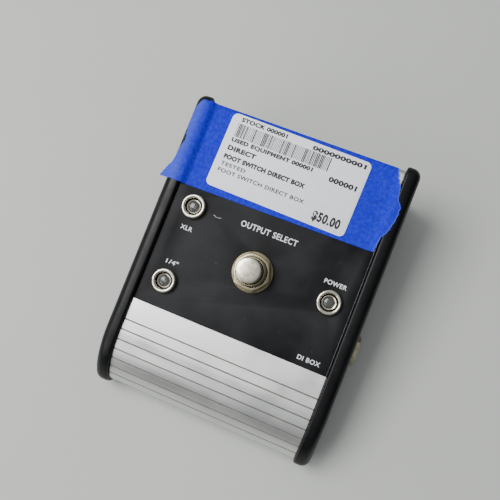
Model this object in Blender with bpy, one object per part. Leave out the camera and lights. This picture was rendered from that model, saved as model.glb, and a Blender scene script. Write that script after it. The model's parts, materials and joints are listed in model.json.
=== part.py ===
"""Direct injection box with a foot switch, built as an assembly of separate pieces.

The case is one folded aluminium skin between two moulded end cheeks, closed by a flat bottom plate.
Metres, +Z up, the player's side towards -Y. The origin is the middle of the floor under the box.
"""

import math

import bmesh
import bpy
from mathutils import Vector

MM = 0.001

# Clearances: GAP lies between pieces that touch on the real box.
GAP = 0.3 * MM

# Case skin, a side profile folded from one sheet and as wide as the space between the cheeks.
SKIN_WIDTH = 82.5 * MM
SKIN_THICKNESS = 2.0 * MM
DECK_SLOPE = math.radians(9.5)
DECK_HEIGHT = 31.5 * MM  # above the floor, at the foot switch
DECK_TO_REAR = 59.8 * MM  # along the deck, foot switch to the rear fold
DECK_TO_NOSE = 41.2 * MM  # along the deck, foot switch to where the nose starts to curve
NOSE_RADIUS = 26.8 * MM
NOSE_TURN = math.radians(48)
CHIN_RADIUS = 7.0 * MM
FOLD_RADIUS = 2.6 * MM
FLANGE_LENGTH = 9.0 * MM
GROOVE_COUNT = 7
GROOVE_PITCH = 4.27 * MM
FIRST_GROOVE = 36.0 * MM  # along the deck, in front of the foot switch
GROOVE_WIDTH = 0.8 * MM
GROOVE_DEPTH = 0.5 * MM

# Printed panel, let into a shallow recess of the deck.
PANEL_FRONT = 27.0 * MM
PANEL_REAR_STRIP = 11.2 * MM
PANEL_THICKNESS = 0.4 * MM
PANEL_RECESS = 0.55 * MM

# End cheeks.
CHEEK_THICKNESS = 6.1 * MM
CHEEK_PROUD = 1.8 * MM
CHEEK_ROUNDING = 3.6 * MM
CHEEK_WALL = 2.5 * MM
CHEEK_RIM = 7.0 * MM  # solid border between the outer edge and the pocket
POCKET_CORNER = 3.0 * MM
CHEEK_BOTTOM = 1.6 * MM
CHEEK_CORNER = 0.8 * MM
NOSE_PORT_SHARE = 0.42  # how far round the nose its screw port lies

# Bottom plate and feet.
FOOT_HEIGHT = 2.5 * MM
FOOT_RADIUS = 5.0 * MM
FOOT_FROM_SIDE = 9.5 * MM
FOOT_FROM_END = 12.0 * MM
PLATE_THICKNESS = 1.5 * MM
PLATE_SCREW_FROM_SIDE = 20.9 * MM
PLATE_SCREW_FROM_END = 5.4 * MM
PLATE_SCREW_LENGTH = 5.4 * MM

# Screws: shank and head radii, head height.
SCREW_RADIUS = 1.4 * MM
SCREW_HEAD_RADIUS = 2.6 * MM
SCREW_HEAD_HEIGHT = 1.5 * MM
SCREW_LENGTH = 9.0 * MM
PORT_RADIUS = 2.4 * MM

# Foot switch: the cap slides in the bushing, and its stem in the body.
BUSHING_RADIUS = 5.9 * MM
BUSHING_WALL = 0.75 * MM
BUSHING_TOP = 8.0 * MM  # above the deck
BUSHING_CHAMFER = 0.45 * MM
BUSHING_FLANGE = (7.47 * MM, 1.0 * MM)  # radius and thickness
BUSHING_FLOOR = 2.6 * MM
BUSHING_BORE = BUSHING_RADIUS - BUSHING_WALL
CAP_RADIUS = BUSHING_BORE - GAP
CAP_TOP = 15.0 * MM
CAP_CROWN = 0.25 * MM
CAP_ROUNDING = 1.0 * MM
CAP_UNDERSIDE = 4.5 * MM
CAP_TRAVEL = 3.0 * MM
STEM_RADIUS = 2.8 * MM
STEM_LENGTH = 14.5 * MM
NUT_WALL = 1.1 * MM
NUT_FLATS = 2 * (BUSHING_RADIUS + NUT_WALL)
NUT_HEIGHT = 2.4 * MM
WASHER_RIM = 2.4 * MM
WASHER_RADIUS = BUSHING_RADIUS + WASHER_RIM
WASHER_THICKNESS = 0.8 * MM
SWITCH_BODY_WIDTH = 16.6 * MM
SWITCH_BODY_DEPTH = 11.5 * MM
TERMINAL_INSET = 1.0 * MM
LUG_PITCH = 4.8 * MM
LUG_SIZE = (2.0 * MM, 0.8 * MM, 1.8 * MM)
TERMINAL_PLATE = 0.8 * MM
SPRING_WIRE = 0.35 * MM
SPRING_TURNS = 4.0

# Indicator lamps: places on the deck as right and rearward of the foot switch.
LAMP_ACROSS = 32.0 * MM
LAMP_ALONG = 16.0 * MM
LAMPS = {"xlr": (-1, 1), "jack": (-1, -1), "power": (1, 0)}
BEZEL_SHANK = 4.0 * MM
BEZEL_RIM = 1.1 * MM
BEZEL_WALL = 0.7 * MM
BEZEL_RADIUS = BEZEL_SHANK + BEZEL_RIM
BEZEL_BORE = BEZEL_SHANK - BEZEL_WALL
BEZEL_HEIGHT = 2.0 * MM
BEZEL_DEPTH = 9.0 * MM
LAMP_CLEARANCE = 0.4 * MM
LAMP_RADIUS = BEZEL_BORE - LAMP_CLEARANCE
LAMP_TOP = 1.2 * MM
LAMP_LENGTH = 7.0 * MM
LEAD_WIDTH = 0.5 * MM
LEAD_PITCH = 2.54 * MM
BEZEL_NUT_FLATS = 2 * (BEZEL_SHANK + 1.5 * MM)
BEZEL_NUT_HEIGHT = 1.7 * MM

# Circuit board, parallel to the bottom plate, and what stands on it.
BOARD_FROM_FRONT = 20.0 * MM  # behind the front wall
BOARD_FROM_SIDE = 6.25 * MM
BOARD_THICKNESS = 1.6 * MM
STANDOFF_HEIGHT = 3.0 * MM
STANDOFF_RADIUS = 2.6 * MM
BOARD_HOLE_INSET = 4.0 * MM
TRANSFORMER_CORE = (19.0 * MM, 5.5 * MM, 15.0 * MM)
TRANSFORMER_FROM_SWITCH = 0.5 * MM
TRANSFORMER_FROM_REAR = 9.0 * MM  # from the board's rear edge, as for the capacitor
TRANSFORMER_LEG = 4.2 * MM
TRANSFORMER_YOKE = 3.2 * MM
WINDING_BULGE = 3.5 * MM
CAPACITOR = (3.2 * MM, 11.0 * MM)  # radius and height
CAPACITOR_ACROSS = 16.0 * MM
CAPACITOR_FROM_REAR = 10.0 * MM
CHIP_SIZE = (9.4 * MM, 6.4 * MM, 3.4 * MM)
CHIP_ACROSS = -14.0 * MM
CHIP_FROM_FRONT = 15.0 * MM  # from the board's front edge, as for the regulator
REGULATOR_SIZE = (10.0 * MM, 4.4 * MM, 9.0 * MM)
REGULATOR_ACROSS = 20.0 * MM
REGULATOR_FROM_FRONT = 12.0 * MM
RIBBON_WIDTH = 13.0 * MM
RIBBON_THICKNESS = 0.6 * MM
RIBBON_AHEAD = 6.7 * MM  # in front of the foot switch's body
RIBBON_RISE = 4.0 * MM

# Rear wall connectors: places across the wall, heights above the floor.
CONNECTOR_HEIGHT = 19.8 * MM
XLR_ACROSS = -21.5 * MM
XLR_FLANGE = (26.0 * MM, 31.0 * MM, 1.5 * MM)
XLR_BARREL = 11.0 * MM
XLR_CAVITY = 8.1 * MM
XLR_DEPTH = 21.0 * MM
XLR_INSERT = 6.0 * MM
XLR_CORNER = 2.5 * MM
XLR_PIN_RADIUS = 1.2 * MM
XLR_PIN_SETBACK = 0.6 * MM
XLR_PIN_TAIL = 3.0 * MM
XLR_PIN_CIRCLE = 3.9 * MM
XLR_SCREW_ACROSS = 9.5 * MM
XLR_SCREW_ALONG = 12.0 * MM
OUTPUT_ACROSS = 3.0 * MM
SLIDER_ACROSS = 19.0 * MM
INLET_ACROSS = 32.0 * MM

# Quarter-inch jacks.
JACK_BORE = 3.25 * MM
JACK_THREAD = 4.6 * MM
JACK_NUT_WALL = 0.9 * MM
JACK_NUT_FLATS = 2 * (JACK_THREAD + JACK_NUT_WALL)
JACK_NUT_HEIGHT = 1.6 * MM
JACK_WASHER = (2.22 * MM, 0.5 * MM)  # rim beyond the thread, and thickness
JACK_CHAMFER = 0.3 * MM
JACK_BODY_END = 2.0 * MM
JACK_BODY = (15.0 * MM, 10.8 * MM, 24.0 * MM)
JACK_TAG = (1.6 * MM, 0.6 * MM, 2.6 * MM)
JACK_TAG_ROOT = 1.0 * MM
JACK_TAG_PITCH = 4.5 * MM
JACK_TAG_LEVEL = 2.5 * MM
INPUT_JACK_AHEAD = 11.8 * MM  # in front of the foot switch
INPUT_JACK_HEIGHT = 15.5 * MM

# Ground-lift slide switch.
SLIDER_SLOT = (7.4 * MM, 3.6 * MM)
SLIDER_NUB = (3.0 * MM, 2.8 * MM)
SLIDER_PROUD = 1.6 * MM
SLIDER_CHAMFER = 0.3 * MM
SLIDER_TRAVEL = 3.0 * MM
SLIDER_BODY = (12.0 * MM, 7.0 * MM, 6.5 * MM)
SLIDER_WELL = (10.6 * MM, 4.6 * MM, 2.8 * MM)

# Power inlet.
INLET_BODY = (9.5 * MM, 11.0 * MM, 13.0 * MM)
INLET_COLLAR = 4.2 * MM
INLET_PROUD = 0.6 * MM
INLET_BORE = 3.1 * MM
INLET_END = 2.0 * MM
INLET_PIN = 1.05 * MM
INLET_PIN_SETBACK = 0.4 * MM

# Masking tape and price label on the rear of the deck, both turned a little.
TAPE_THICKNESS = 0.25 * MM
TAPE_WIDTH = 35.4 * MM
TAPE_FROM_REAR = 0.5 * MM
TAPE_FROM_RIGHT = 1.05 * MM  # short of the skin's right edge
LABEL_SIZE = (59.0 * MM, 30.8 * MM)
LABEL_THICKNESS = 0.2 * MM
LABEL_ACROSS = -1.6 * MM
LABEL_FROM_REAR = 2.8 * MM
LABEL_TURN = math.radians(0.3)

# Facets round a full circle.
FINE = 24
COARSE = 12

# Heights and lines that follow from the sizes above.
PLATE_LOW = FOOT_HEIGHT + GAP
PLATE_HIGH = PLATE_LOW + PLATE_THICKNESS
SKIN_LOW = PLATE_HIGH + GAP
SLOPE_COS = math.cos(DECK_SLOPE)
SLOPE_SIN = math.sin(DECK_SLOPE)
REAR_WALL = DECK_TO_REAR * SLOPE_COS
HALF_SKIN = SKIN_WIDTH / 2
CHEEK_INNER = HALF_SKIN + GAP
CHEEK_OUTER = CHEEK_INNER + CHEEK_THICKNESS
SIDE_PROUD = GAP + JACK_NUT_HEIGHT
REAR_PROUD = GAP + XLR_FLANGE[2] + GAP + SCREW_HEAD_HEIGHT
BOARD_LOW = PLATE_HIGH + STANDOFF_HEIGHT + GAP
BOARD_HIGH = BOARD_LOW + BOARD_THICKNESS
BOARD_WIDTH = SKIN_WIDTH - 2 * BOARD_FROM_SIDE
PANEL_TOP = PANEL_THICKNESS + GAP - PANEL_RECESS
DECK_UNDER = -SKIN_THICKNESS - GAP

FINISHES = {
    "brushed_aluminium": ((0.72, 0.73, 0.73), 0.32, 1.0),
    "black_print": ((0.022, 0.023, 0.024), 0.45, 0.0),
    "black_moulding": ((0.012, 0.012, 0.013), 0.38, 0.0),
    "black_steel": ((0.03, 0.03, 0.03), 0.5, 0.6),
    "nickel": ((0.66, 0.62, 0.56), 0.22, 1.0),
    "chrome": ((0.75, 0.75, 0.75), 0.12, 1.0),
    "zinc_screw": ((0.35, 0.35, 0.35), 0.35, 1.0),
    "rubber": ((0.02, 0.02, 0.02), 0.85, 0.0),
    "clear_lamp": ((0.75, 0.78, 0.76), 0.15, 0.0),
    "board": ((0.02, 0.16, 0.07), 0.4, 0.0),
    "core_steel": ((0.20, 0.20, 0.21), 0.5, 1.0),
    "copper": ((0.72, 0.36, 0.18), 0.35, 1.0),
    "spring_steel": ((0.5, 0.5, 0.5), 0.3, 1.0),
    "chip_black": ((0.03, 0.03, 0.03), 0.5, 0.0),
    "switch_blue": ((0.03, 0.12, 0.35), 0.4, 0.0),
    "ribbon_grey": ((0.35, 0.36, 0.38), 0.5, 0.0),
    "gold_contact": ((0.80, 0.58, 0.22), 0.25, 1.0),
    "white_nub": ((0.75, 0.75, 0.72), 0.4, 0.0),
    "blue_tape": ((0.035, 0.09, 0.52), 0.65, 0.0),
    "paper_label": ((0.68, 0.69, 0.73), 0.55, 0.0),
}


# ---------------------------------------------------------------- outlines


def unit(angle):
    return Vector((math.cos(angle), math.sin(angle)))


def rounded(corners, steps):
    """(point, outward normal) pairs along an open run of (corner, radius), turning left at each corner."""
    places = [corner for corner, _ in corners]
    run = []
    for index, (corner, radius) in enumerate(corners):
        before = (corner - places[index - 1]).normalized() if index else None
        after = (places[index + 1] - corner).normalized() if index + 1 < len(places) else None
        if before is None or after is None:
            heading = after or before
            run.append((corner, Vector((heading.y, -heading.x))))
            continue
        turn = abs(before.angle_signed(after))
        start = corner - before * radius * math.tan(turn / 2)
        centre = start + Vector((-before.y, before.x)) * radius
        first = math.atan2((start - centre).y, (start - centre).x)
        for step in range(steps + 1):
            normal = unit(first + turn * step / steps)
            run.append((centre + normal * radius, normal))
    return run


def deck_point(along, height=0.0):
    """Side-view place of a point on the deck, from its distance behind the foot switch and its height."""
    return Vector((
        along * SLOPE_COS - height * SLOPE_SIN,
        DECK_HEIGHT + along * SLOPE_SIN + height * SLOPE_COS,
    ))


def nose_point(ahead):
    """(point, outward normal) on the bare skin, from its distance along it, ahead of the foot switch."""
    turn = min(max((ahead - DECK_TO_NOSE) / NOSE_RADIUS, 0.0), NOSE_TURN)
    flat = min(ahead, DECK_TO_NOSE)
    place = deck_point(-flat - NOSE_RADIUS * math.sin(turn), -NOSE_RADIUS * (1 - math.cos(turn)))
    return place, unit(math.pi / 2 + DECK_SLOPE + turn)


NOSE_END = DECK_TO_NOSE + NOSE_RADIUS * NOSE_TURN
NOSE_HEADING = DECK_SLOPE + NOSE_TURN
FRONT_WALL = nose_point(NOSE_END)[0].x - CHIN_RADIUS * (1 - math.sin(NOSE_HEADING))
CHIN_DROP = (nose_point(NOSE_END)[0].x - FRONT_WALL) * math.tan(NOSE_HEADING)
CHIN_CORNER = Vector((FRONT_WALL, nose_point(NOSE_END)[0].y - CHIN_DROP))
REAR_TOP_CORNER = Vector((REAR_WALL, DECK_HEIGHT + REAR_WALL * math.tan(DECK_SLOPE)))
MIDDLE = (FRONT_WALL - CHEEK_PROUD + REAR_WALL + REAR_PROUD) / 2
JACK_REACH = SKIN_THICKNESS + 2 * GAP + JACK_BODY[2] + JACK_TAG[2]
XLR_REACH = XLR_DEPTH + XLR_PIN_TAIL - GAP - XLR_FLANGE[2]
BOARD_FRONT_EDGE = FRONT_WALL + BOARD_FROM_FRONT
BOARD_REAR_EDGE = REAR_WALL - max(JACK_REACH, XLR_REACH) - 2 * GAP


def skin_sides():
    """Outer side of the folded skin in three runs: the rear, the deck with its nose, and the chin."""
    steps = 5
    rear = rounded([
        (Vector((REAR_WALL - FLANGE_LENGTH, SKIN_LOW)), 0),
        (Vector((REAR_WALL, SKIN_LOW)), FOLD_RADIUS),
        (REAR_TOP_CORNER, FOLD_RADIUS),
        (deck_point(0), 0),
    ], steps)[:-1]
    chin = rounded([
        (nose_point(NOSE_END)[0], 0),
        (CHIN_CORNER, CHIN_RADIUS),
        (Vector((FRONT_WALL, SKIN_LOW)), FOLD_RADIUS),
        (Vector((FRONT_WALL + FLANGE_LENGTH, SKIN_LOW)), 0),
    ], steps)[1:]
    return rear, chin


def plain_nose(steps=12):
    """Smooth run over the nose, without grooves."""
    length = NOSE_END - DECK_TO_NOSE
    return [nose_point(DECK_TO_NOSE + length * step / steps) for step in range(steps)]


def grooved_deck():
    """Outer points of the deck and nose, with the panel's recess and the grooves let in."""
    normal = nose_point(0)[1]
    recess_rear = DECK_TO_REAR - PANEL_REAR_STRIP
    points = []
    for along, depth in (
        (recess_rear, 0), (recess_rear, PANEL_RECESS), (-PANEL_FRONT, PANEL_RECESS), (-PANEL_FRONT, 0),
    ):
        points.append(deck_point(along) - normal * depth)
    for index in range(GROOVE_COUNT):
        middle = FIRST_GROOVE + index * GROOVE_PITCH
        for side, depth in ((-1, 0), (-1, GROOVE_DEPTH), (1, GROOVE_DEPTH), (1, 0)):
            place, outward = nose_point(middle + side * GROOVE_WIDTH / 2)
            points.append(place - outward * depth)
        land = nose_point(middle + GROOVE_PITCH / 2)[0]
        if middle + GROOVE_PITCH / 2 < NOSE_END:
            points.append(land)
    return points


def skin_outline():
    """Closed side profile of the skin: the outer side forward, the inner side back."""
    rear, chin = skin_sides()
    outer = [point for point, _ in rear] + grooved_deck() + [point for point, _ in chin]
    sides = rear + plain_nose() + chin
    inner = [point - normal * SKIN_THICKNESS for point, normal in reversed(sides)]
    return outer + inner


def cheek_outline(grow):
    """Closed side profile of a cheek, grown from the skin's outer side by a distance."""
    low = CHEEK_BOTTOM + CHEEK_PROUD
    shrink = CHEEK_ROUNDING - CHEEK_PROUD
    corner = CHEEK_CORNER + shrink
    steps = 5
    rear = rounded([
        (Vector((0, low)), 0),
        (Vector((REAR_WALL, low)), corner),
        (REAR_TOP_CORNER, FOLD_RADIUS),
        (deck_point(0), 0),
    ], steps)[1:-1]
    chin = rounded([
        (nose_point(NOSE_END)[0], 0),
        (CHIN_CORNER, CHIN_RADIUS),
        (Vector((FRONT_WALL, low)), corner),
        (Vector((0, low)), 0),
    ], steps)[1:-1]
    return [point + normal * grow for point, normal in rear + plain_nose(8) + chin]


def circle(radius, sides, centre=(0, 0), phase=0.0):
    return [
        Vector(centre) + unit(phase + 2 * math.pi * side / sides) * radius for side in range(sides)
    ]


def clearing(radius, sides):
    """A polygon whose flats just clear a circle."""
    return circle(radius / math.cos(math.pi / sides), sides)


def rectangle(width, height, centre=(0, 0)):
    x, y = centre
    w, h = width / 2, height / 2
    return [Vector((x - w, y - h)), Vector((x + w, y - h)), Vector((x + w, y + h)), Vector((x - w, y + h))]


# ---------------------------------------------------------------- solids


def loft(bm, loops):
    """Closed body through loops of equally many points, with a face over the first and the last."""
    rings = [[bm.verts.new(point) for point in loop] for loop in loops]
    count = len(rings[0])
    for ring, following in zip(rings, rings[1:]):
        for index in range(count):
            after = (index + 1) % count
            bm.faces.new((ring[index], ring[after], following[after], following[index]))
    bm.faces.new(list(reversed(rings[0])))
    bm.faces.new(rings[-1])


def prism(bm, outline, low, high):
    """An outline in the local XY plane, raised from low to high."""
    loft(bm, [[Vector((p.x, p.y, level)) for p in outline] for level in (low, high)])


def side_prism(bm, outline, left, right):
    """A side-view (Y, Z) outline, carried across from left to right."""
    loft(bm, [[Vector((across, p.x, p.y)) for p in outline] for across in (left, right)])


def block(bm, low, high):
    """A box between two corners."""
    centre = ((low[0] + high[0]) / 2, (low[1] + high[1]) / 2)
    prism(bm, rectangle(high[0] - low[0], high[1] - low[1], centre), low[2], high[2])


def turned(bm, profile, sides, closed=False):
    """A body turned about local Z from (radius, height) points: a solid, or a ring if closed."""
    rings = []
    for radius, height in profile:
        if radius < 1e-9:
            rings.append([bm.verts.new((0, 0, height))])
        else:
            rings.append([bm.verts.new((p.x, p.y, height)) for p in circle(radius, sides)])
    pairs = list(zip(rings, rings[1:]))
    if closed:
        pairs.append((rings[-1], rings[0]))
    for ring, following in pairs:
        for index in range(sides):
            after = (index + 1) % sides
            corners = [ring[index % len(ring)], ring[after % len(ring)]]
            corners += [following[after % len(following)], following[index % len(following)]]
            bm.faces.new(list(dict.fromkeys(corners)))


def tube(bm, outer, inner, low, high, sides=FINE):
    """A plain ring: the ends are flat."""
    turned(bm, [(outer, low), (outer, high), (inner, high), (inner, low)], sides, closed=True)


def nut(bm, flats, bore, low, high, sides=FINE):
    """A hexagon nut whose top corners are taken off by a cone, drilled through."""
    corner = flats / math.sqrt(3)
    drop = (corner - flats / 2) * 0.6
    outline = circle(corner, sides)
    rings = []
    for level, limit in ((low, corner), (high - drop, corner), (high, flats / 2)):
        ring = []
        for point in outline:
            angle = math.atan2(point.y, point.x)
            across = (angle + math.pi / 6) % (math.pi / 3) - math.pi / 6
            reach = min(flats / 2 / math.cos(math.pi / 6 - abs(across)), limit)
            ring.append(Vector((math.cos(angle), math.sin(angle), 0)) * reach + Vector((0, 0, level)))
        rings.append(ring)
    hole = clearing(bore, sides)
    rings.append([Vector((p.x, p.y, high)) for p in hole])
    rings.append([Vector((p.x, p.y, low)) for p in hole])
    made = [[bm.verts.new(point) for point in ring] for ring in rings]
    for ring, following in zip(made, made[1:] + made[:1]):
        for index in range(sides):
            after = (index + 1) % sides
            bm.faces.new((ring[index], ring[after], following[after], following[index]))


def coil(bm, radius, wire, turns, low, high, sides=5, steps=12):
    """A helical spring of round wire between two heights of its wire's centreline."""
    total = int(turns * steps)
    loops = []
    for step in range(total + 1):
        angle = 2 * math.pi * step / steps
        outward = Vector((math.cos(angle), math.sin(angle), 0))
        centre = outward * radius + Vector((0, 0, low + (high - low) * step / total))
        loops.append([
            centre + outward * wire * math.cos(2 * math.pi * side / sides)
            + Vector((0, 0, wire * math.sin(2 * math.pi * side / sides)))
            for side in range(sides)
        ])
    loft(bm, loops)


# ---------------------------------------------------------------- objects


def clear_scene():
    for obj in list(bpy.data.objects):
        bpy.data.objects.remove(obj)


def finish(name):
    """The material of that name, made on first use."""
    found = bpy.data.materials.get(name)
    if found:
        return found
    colour, roughness, metallic = FINISHES[name]
    made = bpy.data.materials.new(name)
    made.use_nodes = True
    shader = made.node_tree.nodes["Principled BSDF"]
    shader.inputs["Base Color"].default_value = (*colour, 1)
    shader.inputs["Roughness"].default_value = roughness
    shader.inputs["Metallic"].default_value = metallic
    return made


def frame(name, parent=None, at=(0, 0, 0), turn=(0, 0, 0)):
    """An empty that others are placed on."""
    empty = bpy.data.objects.new(name, None)
    bpy.context.scene.collection.objects.link(empty)
    empty.parent = parent
    empty.location = at
    empty.rotation_euler = turn
    return empty


def piece(name, bm, look, parent, smooth=False, at=(0, 0, 0), turn=(0, 0, 0)):
    """A named object from a finished bmesh, placed on its parent."""
    bmesh.ops.recalc_face_normals(bm, faces=bm.faces)
    mesh = bpy.data.meshes.new(name)
    bm.to_mesh(mesh)
    bm.free()
    if look:
        mesh.materials.append(finish(look))
    if smooth:
        mesh.shade_smooth()
        mesh.set_sharp_from_angle(angle=math.radians(35))
    obj = bpy.data.objects.new(name, mesh)
    bpy.context.scene.collection.objects.link(obj)
    obj.parent = parent
    obj.location = at
    obj.rotation_euler = turn
    return obj


def cutter(name, bm, parent, at=(0, 0, 0), turn=(0, 0, 0)):
    """A helper body that Booleans take away. It isn't a piece of the box."""
    obj = piece(name, bm, None, parent, at=at, turn=turn)
    obj.hide_render = True
    obj.display_type = "WIRE"
    return obj


def add_screw(name, parent, at, turn, length):
    """A pan-head screw pointing down its own Z, with its head's underside at zero."""
    radius, height = SCREW_HEAD_RADIUS, SCREW_HEAD_HEIGHT
    bm = bmesh.new()
    turned(bm, [
        (0, -length), (SCREW_RADIUS, -length), (SCREW_RADIUS, 0), (radius, 0),
        (radius, height * 0.5), (radius * 0.7, height), (0, height),
    ], COARSE)
    return piece(name, bm, "zinc_screw", parent, smooth=True, at=at, turn=turn)


def boolean(obj, other, operation="DIFFERENCE"):
    modifier = obj.modifiers.new(other.name, "BOOLEAN")
    modifier.operation = operation
    modifier.object = other


# ---------------------------------------------------------------- case


def port_places():
    """Side-view centres of the screw ports that run along inside the skin, at its rear top and its nose."""
    reach = SKIN_THICKNESS + PORT_RADIUS - 0.2 * MM
    normal = nose_point(0)[1]
    rear_across = REAR_WALL - reach
    deck_level = DECK_HEIGHT + rear_across * math.tan(DECK_SLOPE)
    rear_top = Vector((rear_across, deck_level - reach / normal.y))
    place, outward = nose_point(DECK_TO_NOSE + NOSE_RADIUS * NOSE_TURN * NOSE_PORT_SHARE)
    return [rear_top, place - outward * reach]


def pocket_outline():
    """Closed side profile of a cheek's pocket, kept clear of the screw at the nose."""
    rear = REAR_WALL - CHEEK_RIM
    front = port_places()[1].x + SCREW_HEAD_RADIUS + 2 * GAP + CHEEK_CORNER
    low = CHEEK_BOTTOM + CHEEK_PROUD + POCKET_CORNER
    corners = []
    for along in (rear, front):
        level = DECK_HEIGHT + along * math.tan(DECK_SLOPE) - CHEEK_RIM / SLOPE_COS
        corners.append(Vector((along, level)))
    middle = Vector(((rear + front) / 2, low))
    run = rounded([
        (middle, 0), (Vector((rear, low)), POCKET_CORNER), (corners[0], POCKET_CORNER),
        (corners[1], POCKET_CORNER), (Vector((front, low)), POCKET_CORNER), (middle, 0),
    ], 4)[1:-1]
    return [point for point, _ in run]


def lamp_place(name):
    right, rearward = LAMPS[name]
    return right * LAMP_ACROSS, rearward * LAMP_ALONG


def build_skin(base, deck, tools):
    bm = bmesh.new()
    side_prism(bm, skin_outline(), -HALF_SKIN, HALF_SKIN)
    skin = piece("case_skin", bm, "brushed_aluminium", base)
    bm = bmesh.new()
    for place in port_places():
        side_prism(bm, circle(PORT_RADIUS, COARSE, place), -HALF_SKIN, HALF_SKIN)
    ports = cutter("port_rods", bm, base)
    boolean(skin, ports, "UNION")
    bm = bmesh.new()
    for place in port_places():
        side_prism(bm, circle(SCREW_RADIUS + GAP, COARSE, place), -HALF_SKIN - GAP, HALF_SKIN + GAP)
    boolean(skin, cutter("port_drills", bm, base))
    for tool in tools:
        boolean(skin, tool)

    bm = bmesh.new()
    width = SKIN_WIDTH / 2 - GAP
    low = (-width, -PANEL_FRONT + GAP, PANEL_TOP - PANEL_THICKNESS)
    high = (width, DECK_TO_REAR - PANEL_REAR_STRIP - GAP, PANEL_TOP)
    block(bm, low, high)
    panel = piece("deck_panel", bm, "black_print", deck)
    boolean(panel, tools[0])


def build_deck_drills(deck):
    """Holes through deck and panel for the foot switch and the lamps."""
    bm = bmesh.new()
    depth = 2 * SKIN_THICKNESS
    prism(bm, circle(BUSHING_RADIUS + GAP, FINE), -depth, depth)
    for name in LAMPS:
        prism(bm, circle(BEZEL_SHANK + GAP, FINE, lamp_place(name)), -depth, depth)
    return cutter("deck_drills", bm, deck)


def build_rear_drills(wall):
    """Holes through the rear wall. The wall frame has X across, Y down and Z rearward."""
    bm = bmesh.new()
    depth = 2 * SKIN_THICKNESS
    prism(bm, circle(XLR_BARREL + GAP, FINE, (XLR_ACROSS, 0)), -depth, depth)
    for place in xlr_screw_places():
        prism(bm, circle(SCREW_RADIUS + GAP, COARSE, place), -depth, depth)
    prism(bm, circle(JACK_THREAD + GAP, FINE, (OUTPUT_ACROSS, 0)), -depth, depth)
    prism(bm, rectangle(*SLIDER_SLOT, (SLIDER_ACROSS, 0)), -depth, depth)
    prism(bm, circle(INLET_COLLAR + GAP, FINE, (INLET_ACROSS, 0)), -depth, depth)
    return cutter("rear_drills", bm, wall)


def plate_screw_places():
    """Four screws up through the bottom plate into the skin's flanges."""
    across = HALF_SKIN - PLATE_SCREW_FROM_SIDE
    ends = (FRONT_WALL + PLATE_SCREW_FROM_END, REAR_WALL - PLATE_SCREW_FROM_END)
    return [(side * across, along) for side in (-1, 1) for along in ends]


def build_plate_drills(base):
    bm = bmesh.new()
    for place in plate_screw_places():
        prism(bm, circle(SCREW_RADIUS + GAP, COARSE, place), 0, SKIN_LOW + SKIN_THICKNESS + GAP)
    return cutter("plate_drills", bm, base)


def build_bottom(base, plate_drills):
    """The plate with its four blind stand-offs, its screws and its feet."""
    bm = bmesh.new()
    block(bm, (-HALF_SKIN, FRONT_WALL, PLATE_LOW), (HALF_SKIN, REAR_WALL, PLATE_HIGH))
    plate = piece("bottom_plate", bm, "black_steel", base)
    bm = bmesh.new()
    for place in board_hole_places():
        low = PLATE_LOW + PLATE_THICKNESS / 2
        prism(bm, circle(STANDOFF_RADIUS, COARSE, place), low, PLATE_HIGH + STANDOFF_HEIGHT)
    boolean(plate, cutter("standoff_rods", bm, base), "UNION")
    bm = bmesh.new()
    for place in board_hole_places():
        prism(bm, circle(SCREW_RADIUS + GAP, COARSE, place), PLATE_HIGH + GAP, BOARD_LOW)
    boolean(plate, cutter("standoff_drills", bm, base))
    boolean(plate, plate_drills)

    for number, (x, y) in enumerate(plate_screw_places(), 1):
        at = (x, y, PLATE_LOW - GAP)
        add_screw(f"bottom_screw_{number}", base, at, (math.pi, 0, 0), PLATE_SCREW_LENGTH)

    for side, side_name in ((-1, "left"), (1, "right")):
        for y, end_name in ((FRONT_WALL + FOOT_FROM_END, "front"), (REAR_WALL - FOOT_FROM_END, "rear")):
            bm = bmesh.new()
            turned(bm, [
                (0, 0), (FOOT_RADIUS * 0.85, 0), (FOOT_RADIUS, FOOT_HEIGHT * 0.4),
                (FOOT_RADIUS, FOOT_HEIGHT), (0, FOOT_HEIGHT),
            ], 16)
            at = (side * (HALF_SKIN - FOOT_FROM_SIDE), y, 0)
            piece(f"foot_{end_name}_{side_name}", bm, "rubber", base, smooth=True, at=at)


def build_cheek(name, side, base):
    """A moulded cheek: a rounded outer edge, a pocket inside, and counterbores for its screws."""
    loops = [[Vector((side * CHEEK_INNER, p.x, p.y)) for p in cheek_outline(CHEEK_PROUD)]]
    arc_steps = 4
    for step in range(arc_steps + 1):
        angle = math.pi / 2 * step / arc_steps
        across = CHEEK_OUTER - CHEEK_ROUNDING * (1 - math.sin(angle))
        shrink = CHEEK_ROUNDING * (1 - math.cos(angle))
        loops.append([Vector((side * across, p.x, p.y)) for p in cheek_outline(CHEEK_PROUD - shrink)])
    bm = bmesh.new()
    loft(bm, loops)
    cheek = piece(name, bm, "black_moulding", base, smooth=True)

    bm = bmesh.new()
    floor = side * (CHEEK_OUTER - CHEEK_WALL)
    mouth = side * (CHEEK_INNER - GAP)
    side_prism(bm, pocket_outline(), *sorted((floor, mouth)))
    boolean(cheek, cutter(f"{name}_pocket", bm, base))

    bm = bmesh.new()
    shoulder = side * (CHEEK_OUTER - SCREW_HEAD_HEIGHT - GAP)
    outside = side * (CHEEK_OUTER + GAP)
    through = side * (CHEEK_INNER - GAP)
    ends = sorted((shoulder, outside))
    for place in port_places():
        side_prism(bm, circle(SCREW_HEAD_RADIUS + GAP, FINE, place), *ends)
    boolean(cheek, cutter(f"{name}_counterbores", bm, base))
    bm = bmesh.new()
    ends = sorted((through, outside))
    for place in port_places():
        side_prism(bm, circle(SCREW_RADIUS + GAP, COARSE, place), *ends)
    boolean(cheek, cutter(f"{name}_screw_holes", bm, base))
    return cheek


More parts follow.
